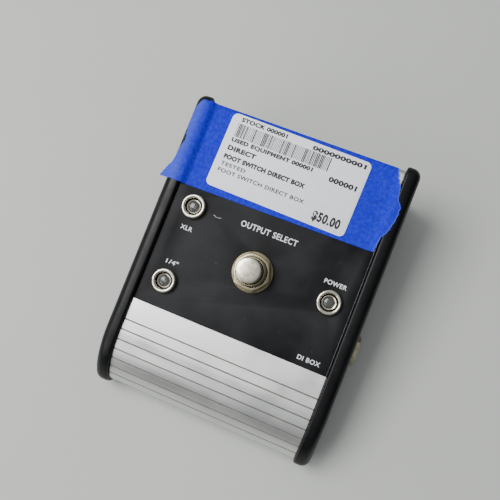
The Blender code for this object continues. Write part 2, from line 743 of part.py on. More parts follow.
def build_cheek_screws(base):
    for side, side_name in ((-1, "left"), (1, "right")):
        for place, end_name in zip(port_places(), ("rear", "front")):
            at = (side * (CHEEK_OUTER - SCREW_HEAD_HEIGHT), place.x, place.y)
            turn = (0, side * math.pi / 2, 0)
            add_screw(f"cheek_screw_{end_name}_{side_name}", base, at, turn, SCREW_LENGTH)


# ---------------------------------------------------------------- foot switch and lamps


def build_foot_switch(deck):
    washer_low = PANEL_TOP + GAP
    washer_high = washer_low + WASHER_THICKNESS
    bm = bmesh.new()
    tube(bm, WASHER_RADIUS, BUSHING_RADIUS + GAP, washer_low, washer_high)
    piece("foot_switch_washer", bm, "nickel", deck, smooth=True)

    bm = bmesh.new()
    nut(bm, NUT_FLATS, BUSHING_RADIUS + GAP, washer_high + GAP, washer_high + GAP + NUT_HEIGHT)
    piece("foot_switch_nut", bm, "nickel", deck)

    back_low = DECK_UNDER - NUT_HEIGHT
    bm = bmesh.new()
    nut(bm, NUT_FLATS, BUSHING_RADIUS + GAP, back_low, DECK_UNDER)
    piece("foot_switch_back_nut", bm, "nickel", deck)

    flange_high = back_low - GAP
    flange_radius, flange_thickness = BUSHING_FLANGE
    flange_low = flange_high - flange_thickness
    floor_high = flange_low + BUSHING_FLOOR
    stem_bore = STEM_RADIUS + GAP
    bm = bmesh.new()
    turned(bm, [
        (flange_radius, flange_low), (flange_radius, flange_high),
        (BUSHING_RADIUS, flange_high), (BUSHING_RADIUS, BUSHING_TOP - BUSHING_CHAMFER),
        (BUSHING_RADIUS - BUSHING_CHAMFER, BUSHING_TOP), (BUSHING_BORE, BUSHING_TOP),
        (BUSHING_BORE, floor_high), (stem_bore, floor_high), (stem_bore, flange_low),
    ], FINE, closed=True)
    piece("foot_switch_bushing", bm, "nickel", deck, smooth=True)

    body_high = flange_low - GAP
    body_low = body_high - SWITCH_BODY_DEPTH
    bm = bmesh.new()
    half = SWITCH_BODY_WIDTH / 2
    block(bm, (-half, -half, body_low), (half, half, body_high))
    body = piece("foot_switch_body", bm, "switch_blue", deck)
    stem_low = CAP_UNDERSIDE - STEM_LENGTH
    bm = bmesh.new()
    prism(bm, clearing(stem_bore, COARSE), stem_low - CAP_TRAVEL - 2 * GAP, body_high + GAP)
    boolean(body, cutter("stem_bore", bm, deck))

    high = body_low - GAP
    reach = half - TERMINAL_INSET
    bm = bmesh.new()
    block(bm, (-reach, -reach, high - TERMINAL_PLATE), (reach, reach, high))
    terminals = piece("foot_switch_terminals", bm, "gold_contact", deck)
    width, thickness, length = LUG_SIZE
    bm = bmesh.new()
    for column in (-1, 0, 1):
        for row in (-1, 0, 1):
            x, y = column * LUG_PITCH, row * LUG_PITCH
            top = high - TERMINAL_PLATE / 2
            low = high - TERMINAL_PLATE - length
            block(bm, (x - width / 2, y - thickness / 2, low), (x + width / 2, y + thickness / 2, top))
    boolean(terminals, cutter("terminal_lugs", bm, deck), "UNION")

    profile = [(0, stem_low), (STEM_RADIUS, stem_low)]
    profile += [(STEM_RADIUS, CAP_UNDERSIDE), (CAP_RADIUS, CAP_UNDERSIDE)]
    shoulder = CAP_TOP - CAP_CROWN - CAP_ROUNDING
    for step in range(5):
        angle = math.pi / 2 * step / 4
        reach = CAP_RADIUS - CAP_ROUNDING * (1 - math.cos(angle))
        profile.append((reach, shoulder + CAP_ROUNDING * math.sin(angle)))
    profile.append((0, CAP_TOP))
    bm = bmesh.new()
    turned(bm, profile, FINE)
    piece("foot_switch_cap", bm, "nickel", deck, smooth=True)

    bm = bmesh.new()
    low = floor_high + GAP + SPRING_WIRE
    high = CAP_UNDERSIDE - GAP - SPRING_WIRE
    coil(bm, (STEM_RADIUS + BUSHING_BORE) / 2, SPRING_WIRE, SPRING_TURNS, low, high)
    piece("foot_switch_spring", bm, "spring_steel", deck, smooth=True)


def build_lamp(name, deck):
    """A bezel through the deck, the lamp in it with its leads down to the board, and the bezel's back nut."""
    x, y = lamp_place(name)
    at = (x, y, 0)
    low = PANEL_TOP + GAP
    bm = bmesh.new()
    turned(bm, [
        (BEZEL_SHANK, -BEZEL_DEPTH), (BEZEL_SHANK, low), (BEZEL_RADIUS, low),
        (BEZEL_RADIUS, low + BEZEL_HEIGHT * 0.3), (BEZEL_RADIUS * 0.93, low + BEZEL_HEIGHT * 0.7),
        (BEZEL_RADIUS * 0.82, low + BEZEL_HEIGHT), (BEZEL_RADIUS * 0.74, low + BEZEL_HEIGHT),
        (BEZEL_BORE, low + BEZEL_HEIGHT * 0.35), (BEZEL_BORE, -BEZEL_DEPTH),
    ], FINE, closed=True)
    piece(f"lamp_bezel_{name}", bm, "chrome", deck, smooth=True, at=at)

    bm = bmesh.new()
    base = LAMP_TOP - LAMP_LENGTH
    dome = LAMP_RADIUS * 0.85
    profile = [(0, base), (LAMP_RADIUS, base)]
    for step in range(4):
        angle = math.pi / 2 * step / 4
        profile.append((LAMP_RADIUS * math.cos(angle), LAMP_TOP - dome + dome * math.sin(angle)))
    profile.append((0, LAMP_TOP))
    turned(bm, profile, 16)
    lamp = piece(f"lamp_{name}", bm, "clear_lamp", deck, smooth=True, at=at)
    half = LEAD_WIDTH / 2
    floor = (BOARD_HIGH + 2 * GAP - DECK_HEIGHT - y * SLOPE_SIN) / SLOPE_COS
    bm = bmesh.new()
    for side in (-1, 1):
        across = side * LEAD_PITCH / 2
        block(bm, (across - half, -half, floor), (across + half, half, base + LEAD_PITCH / 2))
    boolean(lamp, cutter(f"lamp_leads_{name}", bm, deck, at=at), "UNION")

    bm = bmesh.new()
    nut(bm, BEZEL_NUT_FLATS, BEZEL_SHANK + GAP, DECK_UNDER - BEZEL_NUT_HEIGHT, DECK_UNDER, sides=12)
    piece(f"lamp_bezel_nut_{name}", bm, "nickel", deck, at=at)


# ---------------------------------------------------------------- connectors


def jack_frame_parts(prefix, wall, wall_thickness, washer, body_turn=0.0):
    """A quarter-inch jack through a wall. Its frame's Z points out of the box, from the wall's outer face."""
    low = GAP
    if washer:
        rim, thickness = JACK_WASHER
        bm = bmesh.new()
        tube(bm, JACK_THREAD + rim, JACK_THREAD + GAP, low, low + thickness)
        piece(f"{prefix}_washer", bm, "nickel", wall, smooth=True)
        low += thickness + GAP
    bm = bmesh.new()
    nut(bm, JACK_NUT_FLATS, JACK_THREAD + GAP, low, low + JACK_NUT_HEIGHT)
    piece(f"{prefix}_nut", bm, "nickel", wall)

    bm = bmesh.new()
    inner_face = -wall_thickness - GAP
    top = low + JACK_NUT_HEIGHT
    turned(bm, [
        (JACK_THREAD, inner_face), (JACK_THREAD, top - JACK_CHAMFER), (JACK_THREAD - JACK_CHAMFER, top),
        (JACK_BORE + JACK_CHAMFER, top), (JACK_BORE, top - JACK_CHAMFER), (JACK_BORE, inner_face),
    ], FINE, closed=True)
    piece(f"{prefix}_bushing", bm, "nickel", wall, smooth=True)

    width, height, depth = JACK_BODY
    body_high = inner_face - GAP
    bm = bmesh.new()
    block(bm, (-width / 2, -height / 2, body_high - depth), (width / 2, height / 2, body_high))
    turn = (0, 0, body_turn)
    body = piece(f"{prefix}_body", bm, "chip_black", wall, turn=turn)
    bm = bmesh.new()
    prism(bm, circle(JACK_BORE, 16), body_high - depth + JACK_BODY_END, body_high + GAP)
    boolean(body, cutter(f"{prefix}_bore", bm, wall))

    tag_width, tag_thickness, tag_length = JACK_TAG
    back = body_high - depth
    level = height / 2 - JACK_TAG_LEVEL
    bm = bmesh.new()
    for column in (-1, 0, 1):
        x = column * JACK_TAG_PITCH
        low_corner = (x - tag_width / 2, level, back - tag_length)
        block(bm, low_corner, (x + tag_width / 2, level + tag_thickness, back + JACK_TAG_ROOT))
    boolean(body, cutter(f"{prefix}_tags", bm, wall, turn=turn), "UNION")


def xlr_screw_places():
    return [
        (XLR_ACROSS + side * XLR_SCREW_ACROSS, side * XLR_SCREW_ALONG) for side in (-1, 1)
    ]


def build_xlr(wall):
    width, height, thickness = XLR_FLANGE
    bm = bmesh.new()
    corner = XLR_CORNER
    outline = []
    for x_side, y_side, start in ((1, 1, 0), (-1, 1, 1), (-1, -1, 2), (1, -1, 3)):
        middle = (XLR_ACROSS + x_side * (width / 2 - corner), y_side * (height / 2 - corner))
        for step in range(4):
            outline.append(Vector(middle) + unit(math.pi / 2 * (start + step / 3)) * corner)
    prism(bm, outline, GAP, GAP + thickness)
    shell = piece("xlr_shell", bm, "black_steel", wall)
    bm = bmesh.new()
    prism(bm, circle(XLR_BARREL, FINE, (XLR_ACROSS, 0)), GAP + thickness - XLR_DEPTH, GAP + thickness / 2)
    boolean(shell, cutter("xlr_barrel", bm, wall), "UNION")
    bm = bmesh.new()
    prism(bm, circle(XLR_CAVITY, FINE, (XLR_ACROSS, 0)), -XLR_DEPTH, 2 * thickness + GAP)
    boolean(shell, cutter("xlr_cavity", bm, wall))
    bm = bmesh.new()
    for place in xlr_screw_places():
        prism(bm, circle(SCREW_RADIUS + GAP, COARSE, place), -thickness, 2 * thickness + GAP)
    boolean(shell, cutter("xlr_flange_holes", bm, wall))

    back = GAP + thickness - XLR_DEPTH
    bm = bmesh.new()
    prism(bm, circle(XLR_CAVITY - GAP, FINE, (XLR_ACROSS, 0)), back, back + XLR_INSERT)
    insert = piece("xlr_insert", bm, "black_moulding", wall)
    tip = -XLR_PIN_SETBACK
    bm = bmesh.new()
    for angle in (90, 210, 330):
        place = Vector((XLR_ACROSS, 0)) + unit(math.radians(angle)) * XLR_PIN_CIRCLE
        loft(bm, [
            [Vector((p.x, p.y, level)) for p in circle(radius, COARSE, place)]
            for radius, level in (
                (XLR_PIN_RADIUS, back - XLR_PIN_TAIL), (XLR_PIN_RADIUS, tip - XLR_PIN_RADIUS),
                (XLR_PIN_RADIUS / 2, tip),
            )
        ])
    boolean(insert, cutter("xlr_pins", bm, wall), "UNION")

    length = SKIN_THICKNESS + thickness + SCREW_RADIUS + 2 * GAP
    for (x, y), name in zip(xlr_screw_places(), ("upper", "lower")):
        add_screw(f"xlr_screw_{name}", wall, (x, y, 2 * GAP + thickness), (0, 0, 0), length)


def build_ground_lift(wall):
    """A slide switch behind a slot. The slider rests at its left end and moves right."""
    width, height, depth = SLIDER_BODY
    well_width, well_height, well_depth = SLIDER_WELL
    high = -SKIN_THICKNESS - GAP
    x = SLIDER_ACROSS
    bm = bmesh.new()
    block(bm, (x - width / 2, -height / 2, high - depth), (x + width / 2, height / 2, high))
    body = piece("ground_lift_body", bm, "black_steel", wall)
    bm = bmesh.new()
    low_corner = (x - well_width / 2, -well_height / 2, high - well_depth)
    block(bm, low_corner, (x + well_width / 2, well_height / 2, high + GAP))
    boolean(body, cutter("slider_well", bm, wall))

    nub_width, nub_height = SLIDER_NUB
    plate_width = well_width - SLIDER_TRAVEL - 2 * GAP
    rest = -SLIDER_TRAVEL / 2
    bm = bmesh.new()
    plate_low = high - well_depth + GAP
    plate_high = high - GAP
    plate_height = well_height - 2 * GAP
    taper = 2 * SLIDER_CHAMFER
    loft(bm, [
        [Vector((p.x, p.y, level)) for p in rectangle(across, along)]
        for across, along, level in (
            (plate_width, plate_height, plate_low), (plate_width, plate_height, plate_high),
            (nub_width, nub_height, plate_high), (nub_width, nub_height, SLIDER_PROUD - SLIDER_CHAMFER),
            (nub_width - taper, nub_height - taper, SLIDER_PROUD),
        )
    ])
    piece("ground_lift_slider", bm, "white_nub", wall, at=(x + rest, 0, 0))


def build_inlet(wall):
    width, height, depth = INLET_BODY
    x = INLET_ACROSS
    high = -SKIN_THICKNESS - GAP
    bm = bmesh.new()
    block(bm, (x - width / 2, -height / 2, high - depth), (x + width / 2, height / 2, high))
    body = piece("power_inlet_body", bm, "black_moulding", wall)
    bm = bmesh.new()
    prism(bm, circle(INLET_COLLAR, FINE, (x, 0)), high - depth / 2, INLET_PROUD)
    boolean(body, cutter("inlet_collar", bm, wall), "UNION")
    bm = bmesh.new()
    prism(bm, circle(INLET_BORE, FINE, (x, 0)), high - depth + INLET_END, INLET_PROUD + GAP)
    boolean(body, cutter("inlet_bore", bm, wall))
    bm = bmesh.new()
    base = high - depth + INLET_END + GAP
    tip = -INLET_PIN_SETBACK
    turned(bm, [
        (0, base), (INLET_PIN, base), (INLET_PIN, tip - INLET_PIN / 2), (INLET_PIN / 2, tip), (0, tip),
    ], COARSE)
    piece("power_inlet_pin", bm, "nickel", wall, smooth=True, at=(x, 0, 0))


# ---------------------------------------------------------------- circuit board


def board_hole_places():
    x = BOARD_WIDTH / 2 - BOARD_HOLE_INSET
    ends = (BOARD_FRONT_EDGE + BOARD_HOLE_INSET, BOARD_REAR_EDGE - BOARD_HOLE_INSET)
    return [(side * x, y) for side in (-1, 1) for y in ends]


def build_board(base):
    bm = bmesh.new()
    half = BOARD_WIDTH / 2
    block(bm, (-half, BOARD_FRONT_EDGE, BOARD_LOW), (half, BOARD_REAR_EDGE, BOARD_HIGH))
    board = piece("circuit_board", bm, "board", base)
    bm = bmesh.new()
    for place in board_hole_places():
        prism(bm, circle(SCREW_RADIUS + GAP, COARSE, place), BOARD_LOW - GAP, BOARD_HIGH + GAP)
    boolean(board, cutter("board_drills", bm, base))

    for number, (x, y) in enumerate(board_hole_places()[::3], 1):
        at = (x, y, BOARD_HIGH + GAP)
        add_screw(f"board_screw_{number}", base, at, (0, 0, 0), BOARD_THICKNESS + STANDOFF_HEIGHT)


def build_transformer(base):
    """A laminated core with two windows, and a winding round its middle leg."""
    floor = BOARD_HIGH + GAP
    width, depth, height = TRANSFORMER_CORE
    leg, yoke = TRANSFORMER_LEG, TRANSFORMER_YOKE
    x = -SWITCH_BODY_WIDTH / 2 - TRANSFORMER_FROM_SWITCH - width / 2
    y = BOARD_REAR_EDGE - TRANSFORMER_FROM_REAR
    bm = bmesh.new()
    block(bm, (x - width / 2, y - depth / 2, floor), (x + width / 2, y + depth / 2, floor + height))
    core = piece("transformer_core", bm, "core_steel", base)
    window = (width - leg - 2 * yoke) / 2
    bm = bmesh.new()
    for side in (-1, 1):
        middle = x + side * (leg + window) / 2
        low = (middle - window / 2, y - depth, floor + yoke)
        block(bm, low, (middle + window / 2, y + depth, floor + height - yoke))
    boolean(core, cutter("core_windows", bm, base))

    reach = leg / 2 + window - GAP
    bm = bmesh.new()
    outer = rectangle(2 * reach, depth + 2 * WINDING_BULGE, (x, y))
    prism(bm, outer, floor + yoke + GAP, floor + height - yoke - GAP)
    winding = piece("transformer_winding", bm, "copper", base)
    bm = bmesh.new()
    prism(bm, rectangle(leg + 2 * GAP, depth + 2 * GAP, (x, y)), floor, floor + height)
    boolean(winding, cutter("winding_core", bm, base))


def build_components(base):
    """The tall parts on the board, and the ribbon cable from the board to the foot switch."""
    floor = BOARD_HIGH + GAP
    radius, height = CAPACITOR
    bm = bmesh.new()
    turned(bm, [
        (0, 0), (radius, 0), (radius, height - 0.5 * MM), (radius * 0.85, height), (0, height),
    ], COARSE)
    at = (CAPACITOR_ACROSS, BOARD_REAR_EDGE - CAPACITOR_FROM_REAR, floor)
    piece("filter_capacitor", bm, "black_moulding", base, smooth=True, at=at)

    for name, size, x, from_front in (
        ("amplifier_chip", CHIP_SIZE, CHIP_ACROSS, CHIP_FROM_FRONT),
        ("voltage_regulator", REGULATOR_SIZE, REGULATOR_ACROSS, REGULATOR_FROM_FRONT),
    ):
        y = BOARD_FRONT_EDGE + from_front
        width, depth, height = size
        bm = bmesh.new()
        block(bm, (x - width / 2, y - depth / 2, floor), (x + width / 2, y + depth / 2, floor + height))
        piece(name, bm, "chip_black", base)

    y, half = -SWITCH_BODY_WIDTH / 2 - RIBBON_AHEAD, RIBBON_THICKNESS / 2
    rise = RIBBON_RISE
    line = [
        Vector((y, floor)), Vector((y, floor + rise * 0.6)), Vector((y + rise * 0.3, floor + rise * 0.9)),
        Vector((y + rise * 0.8, floor + rise)), Vector((y + rise * 1.6, floor + rise)),
    ]
    upper, under = [], []
    for index, place in enumerate(line):
        before = line[max(index - 1, 0)]
        after = line[min(index + 1, len(line) - 1)]
        heading = (after - before).normalized()
        offset = Vector((-heading.y, heading.x)) * half
        upper.append(place + offset)
        under.append(place - offset)
    bm = bmesh.new()
    side_prism(bm, upper + list(reversed(under)), -RIBBON_WIDTH / 2, RIBBON_WIDTH / 2)
    piece("switch_ribbon", bm, "ribbon_grey", base)


# ---------------------------------------------------------------- tape and label


def tape_line():
    """Cross-section of the tape's underside as (across, height above the deck), left to right."""
    deck_level = PANEL_TOP + GAP
    cheek_level = CHEEK_PROUD + GAP
    inner = -CHEEK_INNER
    outer = -CHEEK_OUTER
    overhang = outer - SIDE_PROUD
    rounding = CHEEK_ROUNDING
    return [
        Vector((overhang, cheek_level - rounding * 0.75)),
        Vector((outer - GAP, cheek_level - rounding * 0.42)),
        Vector((outer + rounding * 0.3, cheek_level - rounding * 0.12)),
        Vector((outer + rounding, cheek_level)),
        Vector((inner + GAP, cheek_level)),
        Vector((inner + CHEEK_PROUD, deck_level)),
        Vector((HALF_SKIN - TAPE_FROM_RIGHT, deck_level)),
    ]


def build_tape(deck):
    under = tape_line()
    upper = [point + Vector((0, TAPE_THICKNESS)) for point in under]
    outline = under + list(reversed(upper))
    rear = DECK_TO_REAR - FOLD_RADIUS
    front = DECK_TO_REAR - TAPE_FROM_REAR - TAPE_WIDTH
    bm = bmesh.new()
    loft(bm, [[Vector((p.x, along, p.y)) for p in outline] for along in (rear, front)])
    piece("masking_tape", bm, "blue_tape", deck)

    width, height = LABEL_SIZE
    level = PANEL_TOP + GAP + TAPE_THICKNESS + GAP
    bm = bmesh.new()
    prism(bm, rectangle(width, height), 0, LABEL_THICKNESS)
    at = (LABEL_ACROSS, DECK_TO_REAR - LABEL_FROM_REAR - height / 2, level)
    piece("price_label", bm, "paper_label", deck, at=at, turn=(0, 0, LABEL_TURN))


# ---------------------------------------------------------------- assembly


def main():
    clear_scene()
    base = frame("case_frame", at=(0, -MIDDLE, 0))
    deck = frame("deck_frame", base, at=(0, 0, DECK_HEIGHT), turn=(DECK_SLOPE, 0, 0))
    wall = frame("rear_frame", base, at=(0, REAR_WALL, CONNECTOR_HEIGHT), turn=(-math.pi / 2, 0, 0))
    output = frame("output_jack_frame", wall, at=(OUTPUT_ACROSS, 0, 0))
    at = (CHEEK_OUTER, -INPUT_JACK_AHEAD, INPUT_JACK_HEIGHT)
    side = frame("input_jack_frame", base, at=at, turn=(0, math.pi / 2, 0))

    deck_drills = build_deck_drills(deck)
    rear_drills = build_rear_drills(wall)
    plate_drills = build_plate_drills(base)
    build_skin(base, deck, [deck_drills, rear_drills, plate_drills])
    build_bottom(base, plate_drills)
    build_cheek("left_cheek", -1, base)
    right = build_cheek("right_cheek", 1, base)
    bm = bmesh.new()
    prism(bm, circle(JACK_THREAD + GAP, FINE), -CHEEK_THICKNESS, CHEEK_WALL)
    boolean(right, cutter("input_jack_hole", bm, side))
    width, height, _ = JACK_BODY
    bm = bmesh.new()
    seat = rectangle(height + 2 * GAP, width + 2 * GAP)
    prism(bm, seat, -CHEEK_THICKNESS - 2 * GAP, -CHEEK_WALL)
    boolean(right, cutter("input_jack_seat", bm, side))
    build_cheek_screws(base)

    build_foot_switch(deck)
    for name in LAMPS:
        build_lamp(name, deck)

    build_xlr(wall)
    jack_frame_parts("output_jack", output, SKIN_THICKNESS, washer=True)
    jack_frame_parts("input_jack", side, CHEEK_WALL, washer=False, body_turn=math.pi / 2)
    build_ground_lift(wall)
    build_inlet(wall)

    build_board(base)
    build_transformer(base)
    build_components(base)
    build_tape(deck)


main()
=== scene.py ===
"""The finished surfaces of a direct injection box with a foot switch, built round its engineering model.

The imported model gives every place. Each operator below makes one piece, or a group of like pieces,
and hands it to the body that it moves with. Metres, +Z up, the player's side towards -Y.
"""

import json
import math
import random

import bmesh
import bpy
from bpy.props import FloatProperty, FloatVectorProperty, IntProperty, PointerProperty, StringProperty
from mathutils import Matrix, Vector, noise


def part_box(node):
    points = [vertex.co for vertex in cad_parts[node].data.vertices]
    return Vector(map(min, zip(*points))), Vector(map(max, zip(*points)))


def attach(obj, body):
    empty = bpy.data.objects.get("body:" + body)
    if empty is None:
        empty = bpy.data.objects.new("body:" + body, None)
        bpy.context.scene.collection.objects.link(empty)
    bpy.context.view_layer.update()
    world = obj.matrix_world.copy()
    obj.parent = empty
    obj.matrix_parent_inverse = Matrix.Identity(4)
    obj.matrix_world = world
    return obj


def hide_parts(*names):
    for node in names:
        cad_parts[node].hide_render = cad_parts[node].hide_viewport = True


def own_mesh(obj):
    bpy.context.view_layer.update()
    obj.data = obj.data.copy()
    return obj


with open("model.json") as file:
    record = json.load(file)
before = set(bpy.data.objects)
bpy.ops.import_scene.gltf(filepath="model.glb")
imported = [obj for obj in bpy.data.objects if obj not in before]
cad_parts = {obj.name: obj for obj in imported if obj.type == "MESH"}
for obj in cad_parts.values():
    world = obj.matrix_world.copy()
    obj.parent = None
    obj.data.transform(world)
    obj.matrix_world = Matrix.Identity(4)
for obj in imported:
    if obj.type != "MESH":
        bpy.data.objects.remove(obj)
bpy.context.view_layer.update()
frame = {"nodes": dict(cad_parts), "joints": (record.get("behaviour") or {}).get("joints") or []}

bl_info = {
    "name": "Direct Box",
    "version": (1, 0, 0),
    "blender": (4, 5, 0),
    "location": "View3D > Sidebar > Direct Box",
    "description": "Builds the finished surfaces of a direct injection box with a foot switch",
    "category": "Add Mesh",
}

MM = 0.001

# Clearance that the engineering model keeps between neighbours.
GAP = 0.3 * MM

# The folded skin's side profile, as in the engineering model.
SKIN_THICKNESS = 2.0 * MM
DECK_TO_REAR = 59.8 * MM
DECK_TO_NOSE = 41.2 * MM
NOSE_RADIUS = 26.8 * MM
NOSE_TURN = math.radians(48)
CHIN_RADIUS = 7.0 * MM
FOLD_RADIUS = 2.6 * MM
FLANGE_LENGTH = 9.0 * MM
FIRST_GROOVE = 36.0 * MM
GROOVE_PITCH = 4.27 * MM
GROOVE_COUNT = 7
PANEL_FRONT = 27.0 * MM
PANEL_REAR = 48.6 * MM
PANEL_THICKNESS = 0.4 * MM
PANEL_PROUD = 0.15 * MM

# The cheeks.
CHEEK_PROUD = 1.8 * MM
CHEEK_WALL = 2.5 * MM
CHEEK_CORNER = 4.2 * MM
CHEEK_INNER_ROUNDING = 0.9 * MM
CHEEK_RIM = 7.0 * MM
CHEEK_FOOT_RIM = 4.8 * MM
SCREW_BOSS_WALL = 1.4 * MM
SCREW_HEAD_HEIGHT = 1.5 * MM
SCREW_HEAD_RADIUS = 2.6 * MM

WASHER_THICKNESS = 0.8 * MM
FLANGE_SEAT = 0.9 * MM  # depth of the screw heads' seats in the XLR flange
LAMPS = ("xlr", "jack", "power")

# The foot switch, with heights above the printed panel.
BUSHING_RADIUS = 5.9 * MM
BUSHING_BORE = 5.15 * MM
BUSHING_TOP = 7.85 * MM
BUSHING_FLANGE = 7.47 * MM
BUSHING_BOTTOM = -6.15 * MM
STEM_RADIUS = 2.8 * MM
STEM_BORE = STEM_RADIUS + GAP
CAP_RADIUS = 4.85 * MM
CAP_TOP = 14.85 * MM
CAP_ROUNDING = 0.45 * MM
CAP_UNDERSIDE = 4.35 * MM
RELIEF_DEPTH = 0.14 * MM
NUT_FLATS = 14.0 * MM
NUT_BOTTOM, NUT_TOP = 1.35 * MM, 3.85 * MM
WASHER_BORE, WASHER_RADIUS = 6.1 * MM, 8.3 * MM

# The lamps.
BEZEL_SHANK = 4.0 * MM
BEZEL_BORE = 3.3 * MM
BEZEL_RIM = 5.1 * MM
BEZEL_BOTTOM = -9.15 * MM
LENS_RADIUS = 2.9 * MM
LENS_BOTTOM = -5.95 * MM
LENS_SHOULDER = 0.3 * MM

# The sockets. The XLR's ends are heights above the rear wall's outer face, so those inside are negative.
XLR_MOUTH = 8.1 * MM
XLR_BARREL = 11.0 * MM
XLR_BARREL_END = -19.2 * MM
XLR_INSERT_RADIUS = XLR_MOUTH - GAP
XLR_INSERT_FACE, XLR_INSERT_BACK = -12.9 * MM, -18.9 * MM
XLR_PIN_RADIUS = 1.2 * MM
XLR_PIN_CIRCLE = 3.9 * MM
JACK_BORE = 3.25 * MM
JACK_THREAD = 4.6 * MM
JACK_NUT_FLATS = 11.0 * MM
JACK_NUT_HEIGHT = 1.6 * MM
JACK_WASHER_RADIUS, JACK_WASHER_THICKNESS = 6.82 * MM, 0.5 * MM

# The holes' radii.
SWITCH_HOLE = 6.2 * MM
LAMP_HOLE = 4.3 * MM
JACK_HOLE = 4.9 * MM
SCREW_HOLE = 1.7 * MM
REAR_HOLES = (("xlr_shell", 11.3 * MM), ("output_jack_nut", JACK_HOLE), ("power_inlet_body", 4.5 * MM))

# The tape, in millimetres along the deck behind the foot switch, and its underside's clearance.
TAPE_FRONT = 23.3
TAPE_WIDTH = 35.6
TAPE_CLEARANCE = 0.06 * MM

# The label.
LABEL_CENTRE = (-1.5 * MM, 41.65 * MM)
LABEL_TURN = math.radians(-1.1)
LABEL_THICKNESS = 0.1 * MM
PRINT_SUNK = 0.005 * MM
PRINT_PROUD = 0.015 * MM


def middle(node):
    low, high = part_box(node)
    return (low + high) / 2


# The deck frame: its origin is on the printed panel at the foot switch, X across, Y rearward, Z out.
PRESS = next(joint for joint in frame["joints"] if joint["name"] == "foot_switch_press")
DECK_NORMAL = -Vector(PRESS["axis"])
DECK_SLOPE = math.atan2(-DECK_NORMAL.y, DECK_NORMAL.z)
DECK = (
    Matrix.Translation(middle("foot_switch_washer") - DECK_NORMAL * (WASHER_THICKNESS / 2 + GAP))
    @ Matrix.Rotation(DECK_SLOPE, 4, "X")
)
SKIN_LOW, SKIN_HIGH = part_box("case_skin")
CHEEK_LOW, CHEEK_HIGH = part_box("right_cheek")
CHEEK_THICKNESS = CHEEK_HIGH.x - CHEEK_LOW.x


def linear(code):
    """An sRGB hex colour as linear red, green, blue and a full alpha."""
    values = [int(code[index:index + 2], 16) / 255 for index in (1, 3, 5)]
    return (*(v / 12.92 if v <= 0.04045 else ((v + 0.055) / 1.055) ** 2.4 for v in values), 1.0)


# ---------------------------------------------------------------- what a user may change


def length(name, description, default):
    return FloatProperty(
        name=name, description=description, default=default, min=0.0,
        subtype="DISTANCE", unit="LENGTH", precision=5,
    )


def colour(name, description, default):
    return FloatVectorProperty(
        name=name, description=description, default=linear(default), size=4, min=0.0, max=1.0,
        subtype="COLOR",
    )


class DirectBoxCase(bpy.types.PropertyGroup):
    """Sizes and colours of the skin, its printed panel and the cheeks."""

    aluminium: colour("Aluminium", "Bare brushed skin", "#E6E6E4")
    print_black: colour("Panel print", "Satin black print on the deck", "#101012")
    legend_white: colour("Legend", "White legends on the panel", "#E9EAEC")
    moulding: colour("Cheeks", "Black moulded end cheeks", "#08080A")
    groove_width: length("Groove width", "Width of each groove across the nose", 0.62 * MM)
    groove_depth: length("Groove depth", "Depth of each groove across the nose", 0.45 * MM)
    cheek_rounding: length("Cheek rounding", "Radius of a cheek's outer edge", 3.6 * MM)
    legend_height: length("Legend height", "Height of the capitals beside the lamps", 1.85 * MM)
    title: StringProperty(name="Title", description="Words behind the foot switch", default="OUTPUT SELECT")


class DirectBoxHardware(bpy.types.PropertyGroup):
    """Sizes and colours of the plated parts."""

    nickel: colour("Nickel", "Nickel plating", "#D6CFBE")
    chrome: colour("Chrome", "Chrome plating", "#DED8C8")
    zinc: colour("Screws", "Black zinc screws", "#2C2C2E")
    thread_pitch: length("Thread pitch", "Pitch of the thread on the switch's bushing", 0.75 * MM)
    cap_crown: length("Cap crown", "How far the foot switch cap domes", 0.25 * MM)
    lens_dome: length("Lens dome", "How far a lamp's lens domes", 1.0 * MM)


class DirectBoxTape(bpy.types.PropertyGroup):
    """Sizes and colours of the masking tape and the price label."""

    tape_blue: colour("Tape", "Creped blue paper", "#020EC8")
    tape_pale: colour("Tape fibres", "Where the paper is torn or rubbed", "#6F88E6")
    paper: colour("Label paper", "White label stock", "#F5F6FA")
    ink: colour("Label ink", "Thermal print", "#151518")
    tape_thickness: length("Tape thickness", "Thickness of the creped paper", 0.14 * MM)
    label_width: length("Label width", "Width of the price label", 59.4 * MM)
    label_height: length("Label height", "Height of the price label", 31.4 * MM)
    label_corner: length("Label corner", "Radius of the label's corners", 2.2 * MM)
    bars: IntProperty(name="Bars", description="Bars in the label's chance pattern", default=64, min=1)


class DirectBoxStage(bpy.types.PropertyGroup):
    """The floor, the lights and the camera."""

    floor: colour("Floor", "Pale plain floor", "#C4C7C1")
    key_power: FloatProperty(
        name="Key light", description="Power of the soft light above and to the left", default=8.0, min=0.0,
    )
    fill_power: FloatProperty(
        name="Fill light", description="Power of the soft light low in front", default=2.4, min=0.0,
    )
    sky: FloatProperty(name="Sky", description="Strength of the room light", default=0.75, min=0.0)
    lens: FloatProperty(name="Lens", description="Focal length of the camera in millimetres", default=43.2)
    roll: FloatProperty(
        name="Roll", description="Turn of the camera about its own view", subtype="ANGLE",
        default=math.radians(-13.32),
    )


# ---------------------------------------------------------------- modelling


def only(*pieces):
    """Selects these pieces and nothing else, in object mode."""
    if bpy.context.object and bpy.context.object.mode != "OBJECT":
        bpy.ops.object.mode_set(mode="OBJECT")
    bpy.ops.object.select_all(action="DESELECT")
    for piece in pieces:
        piece.select_set(True)
    if pieces:
        bpy.context.view_layer.objects.active = pieces[0]


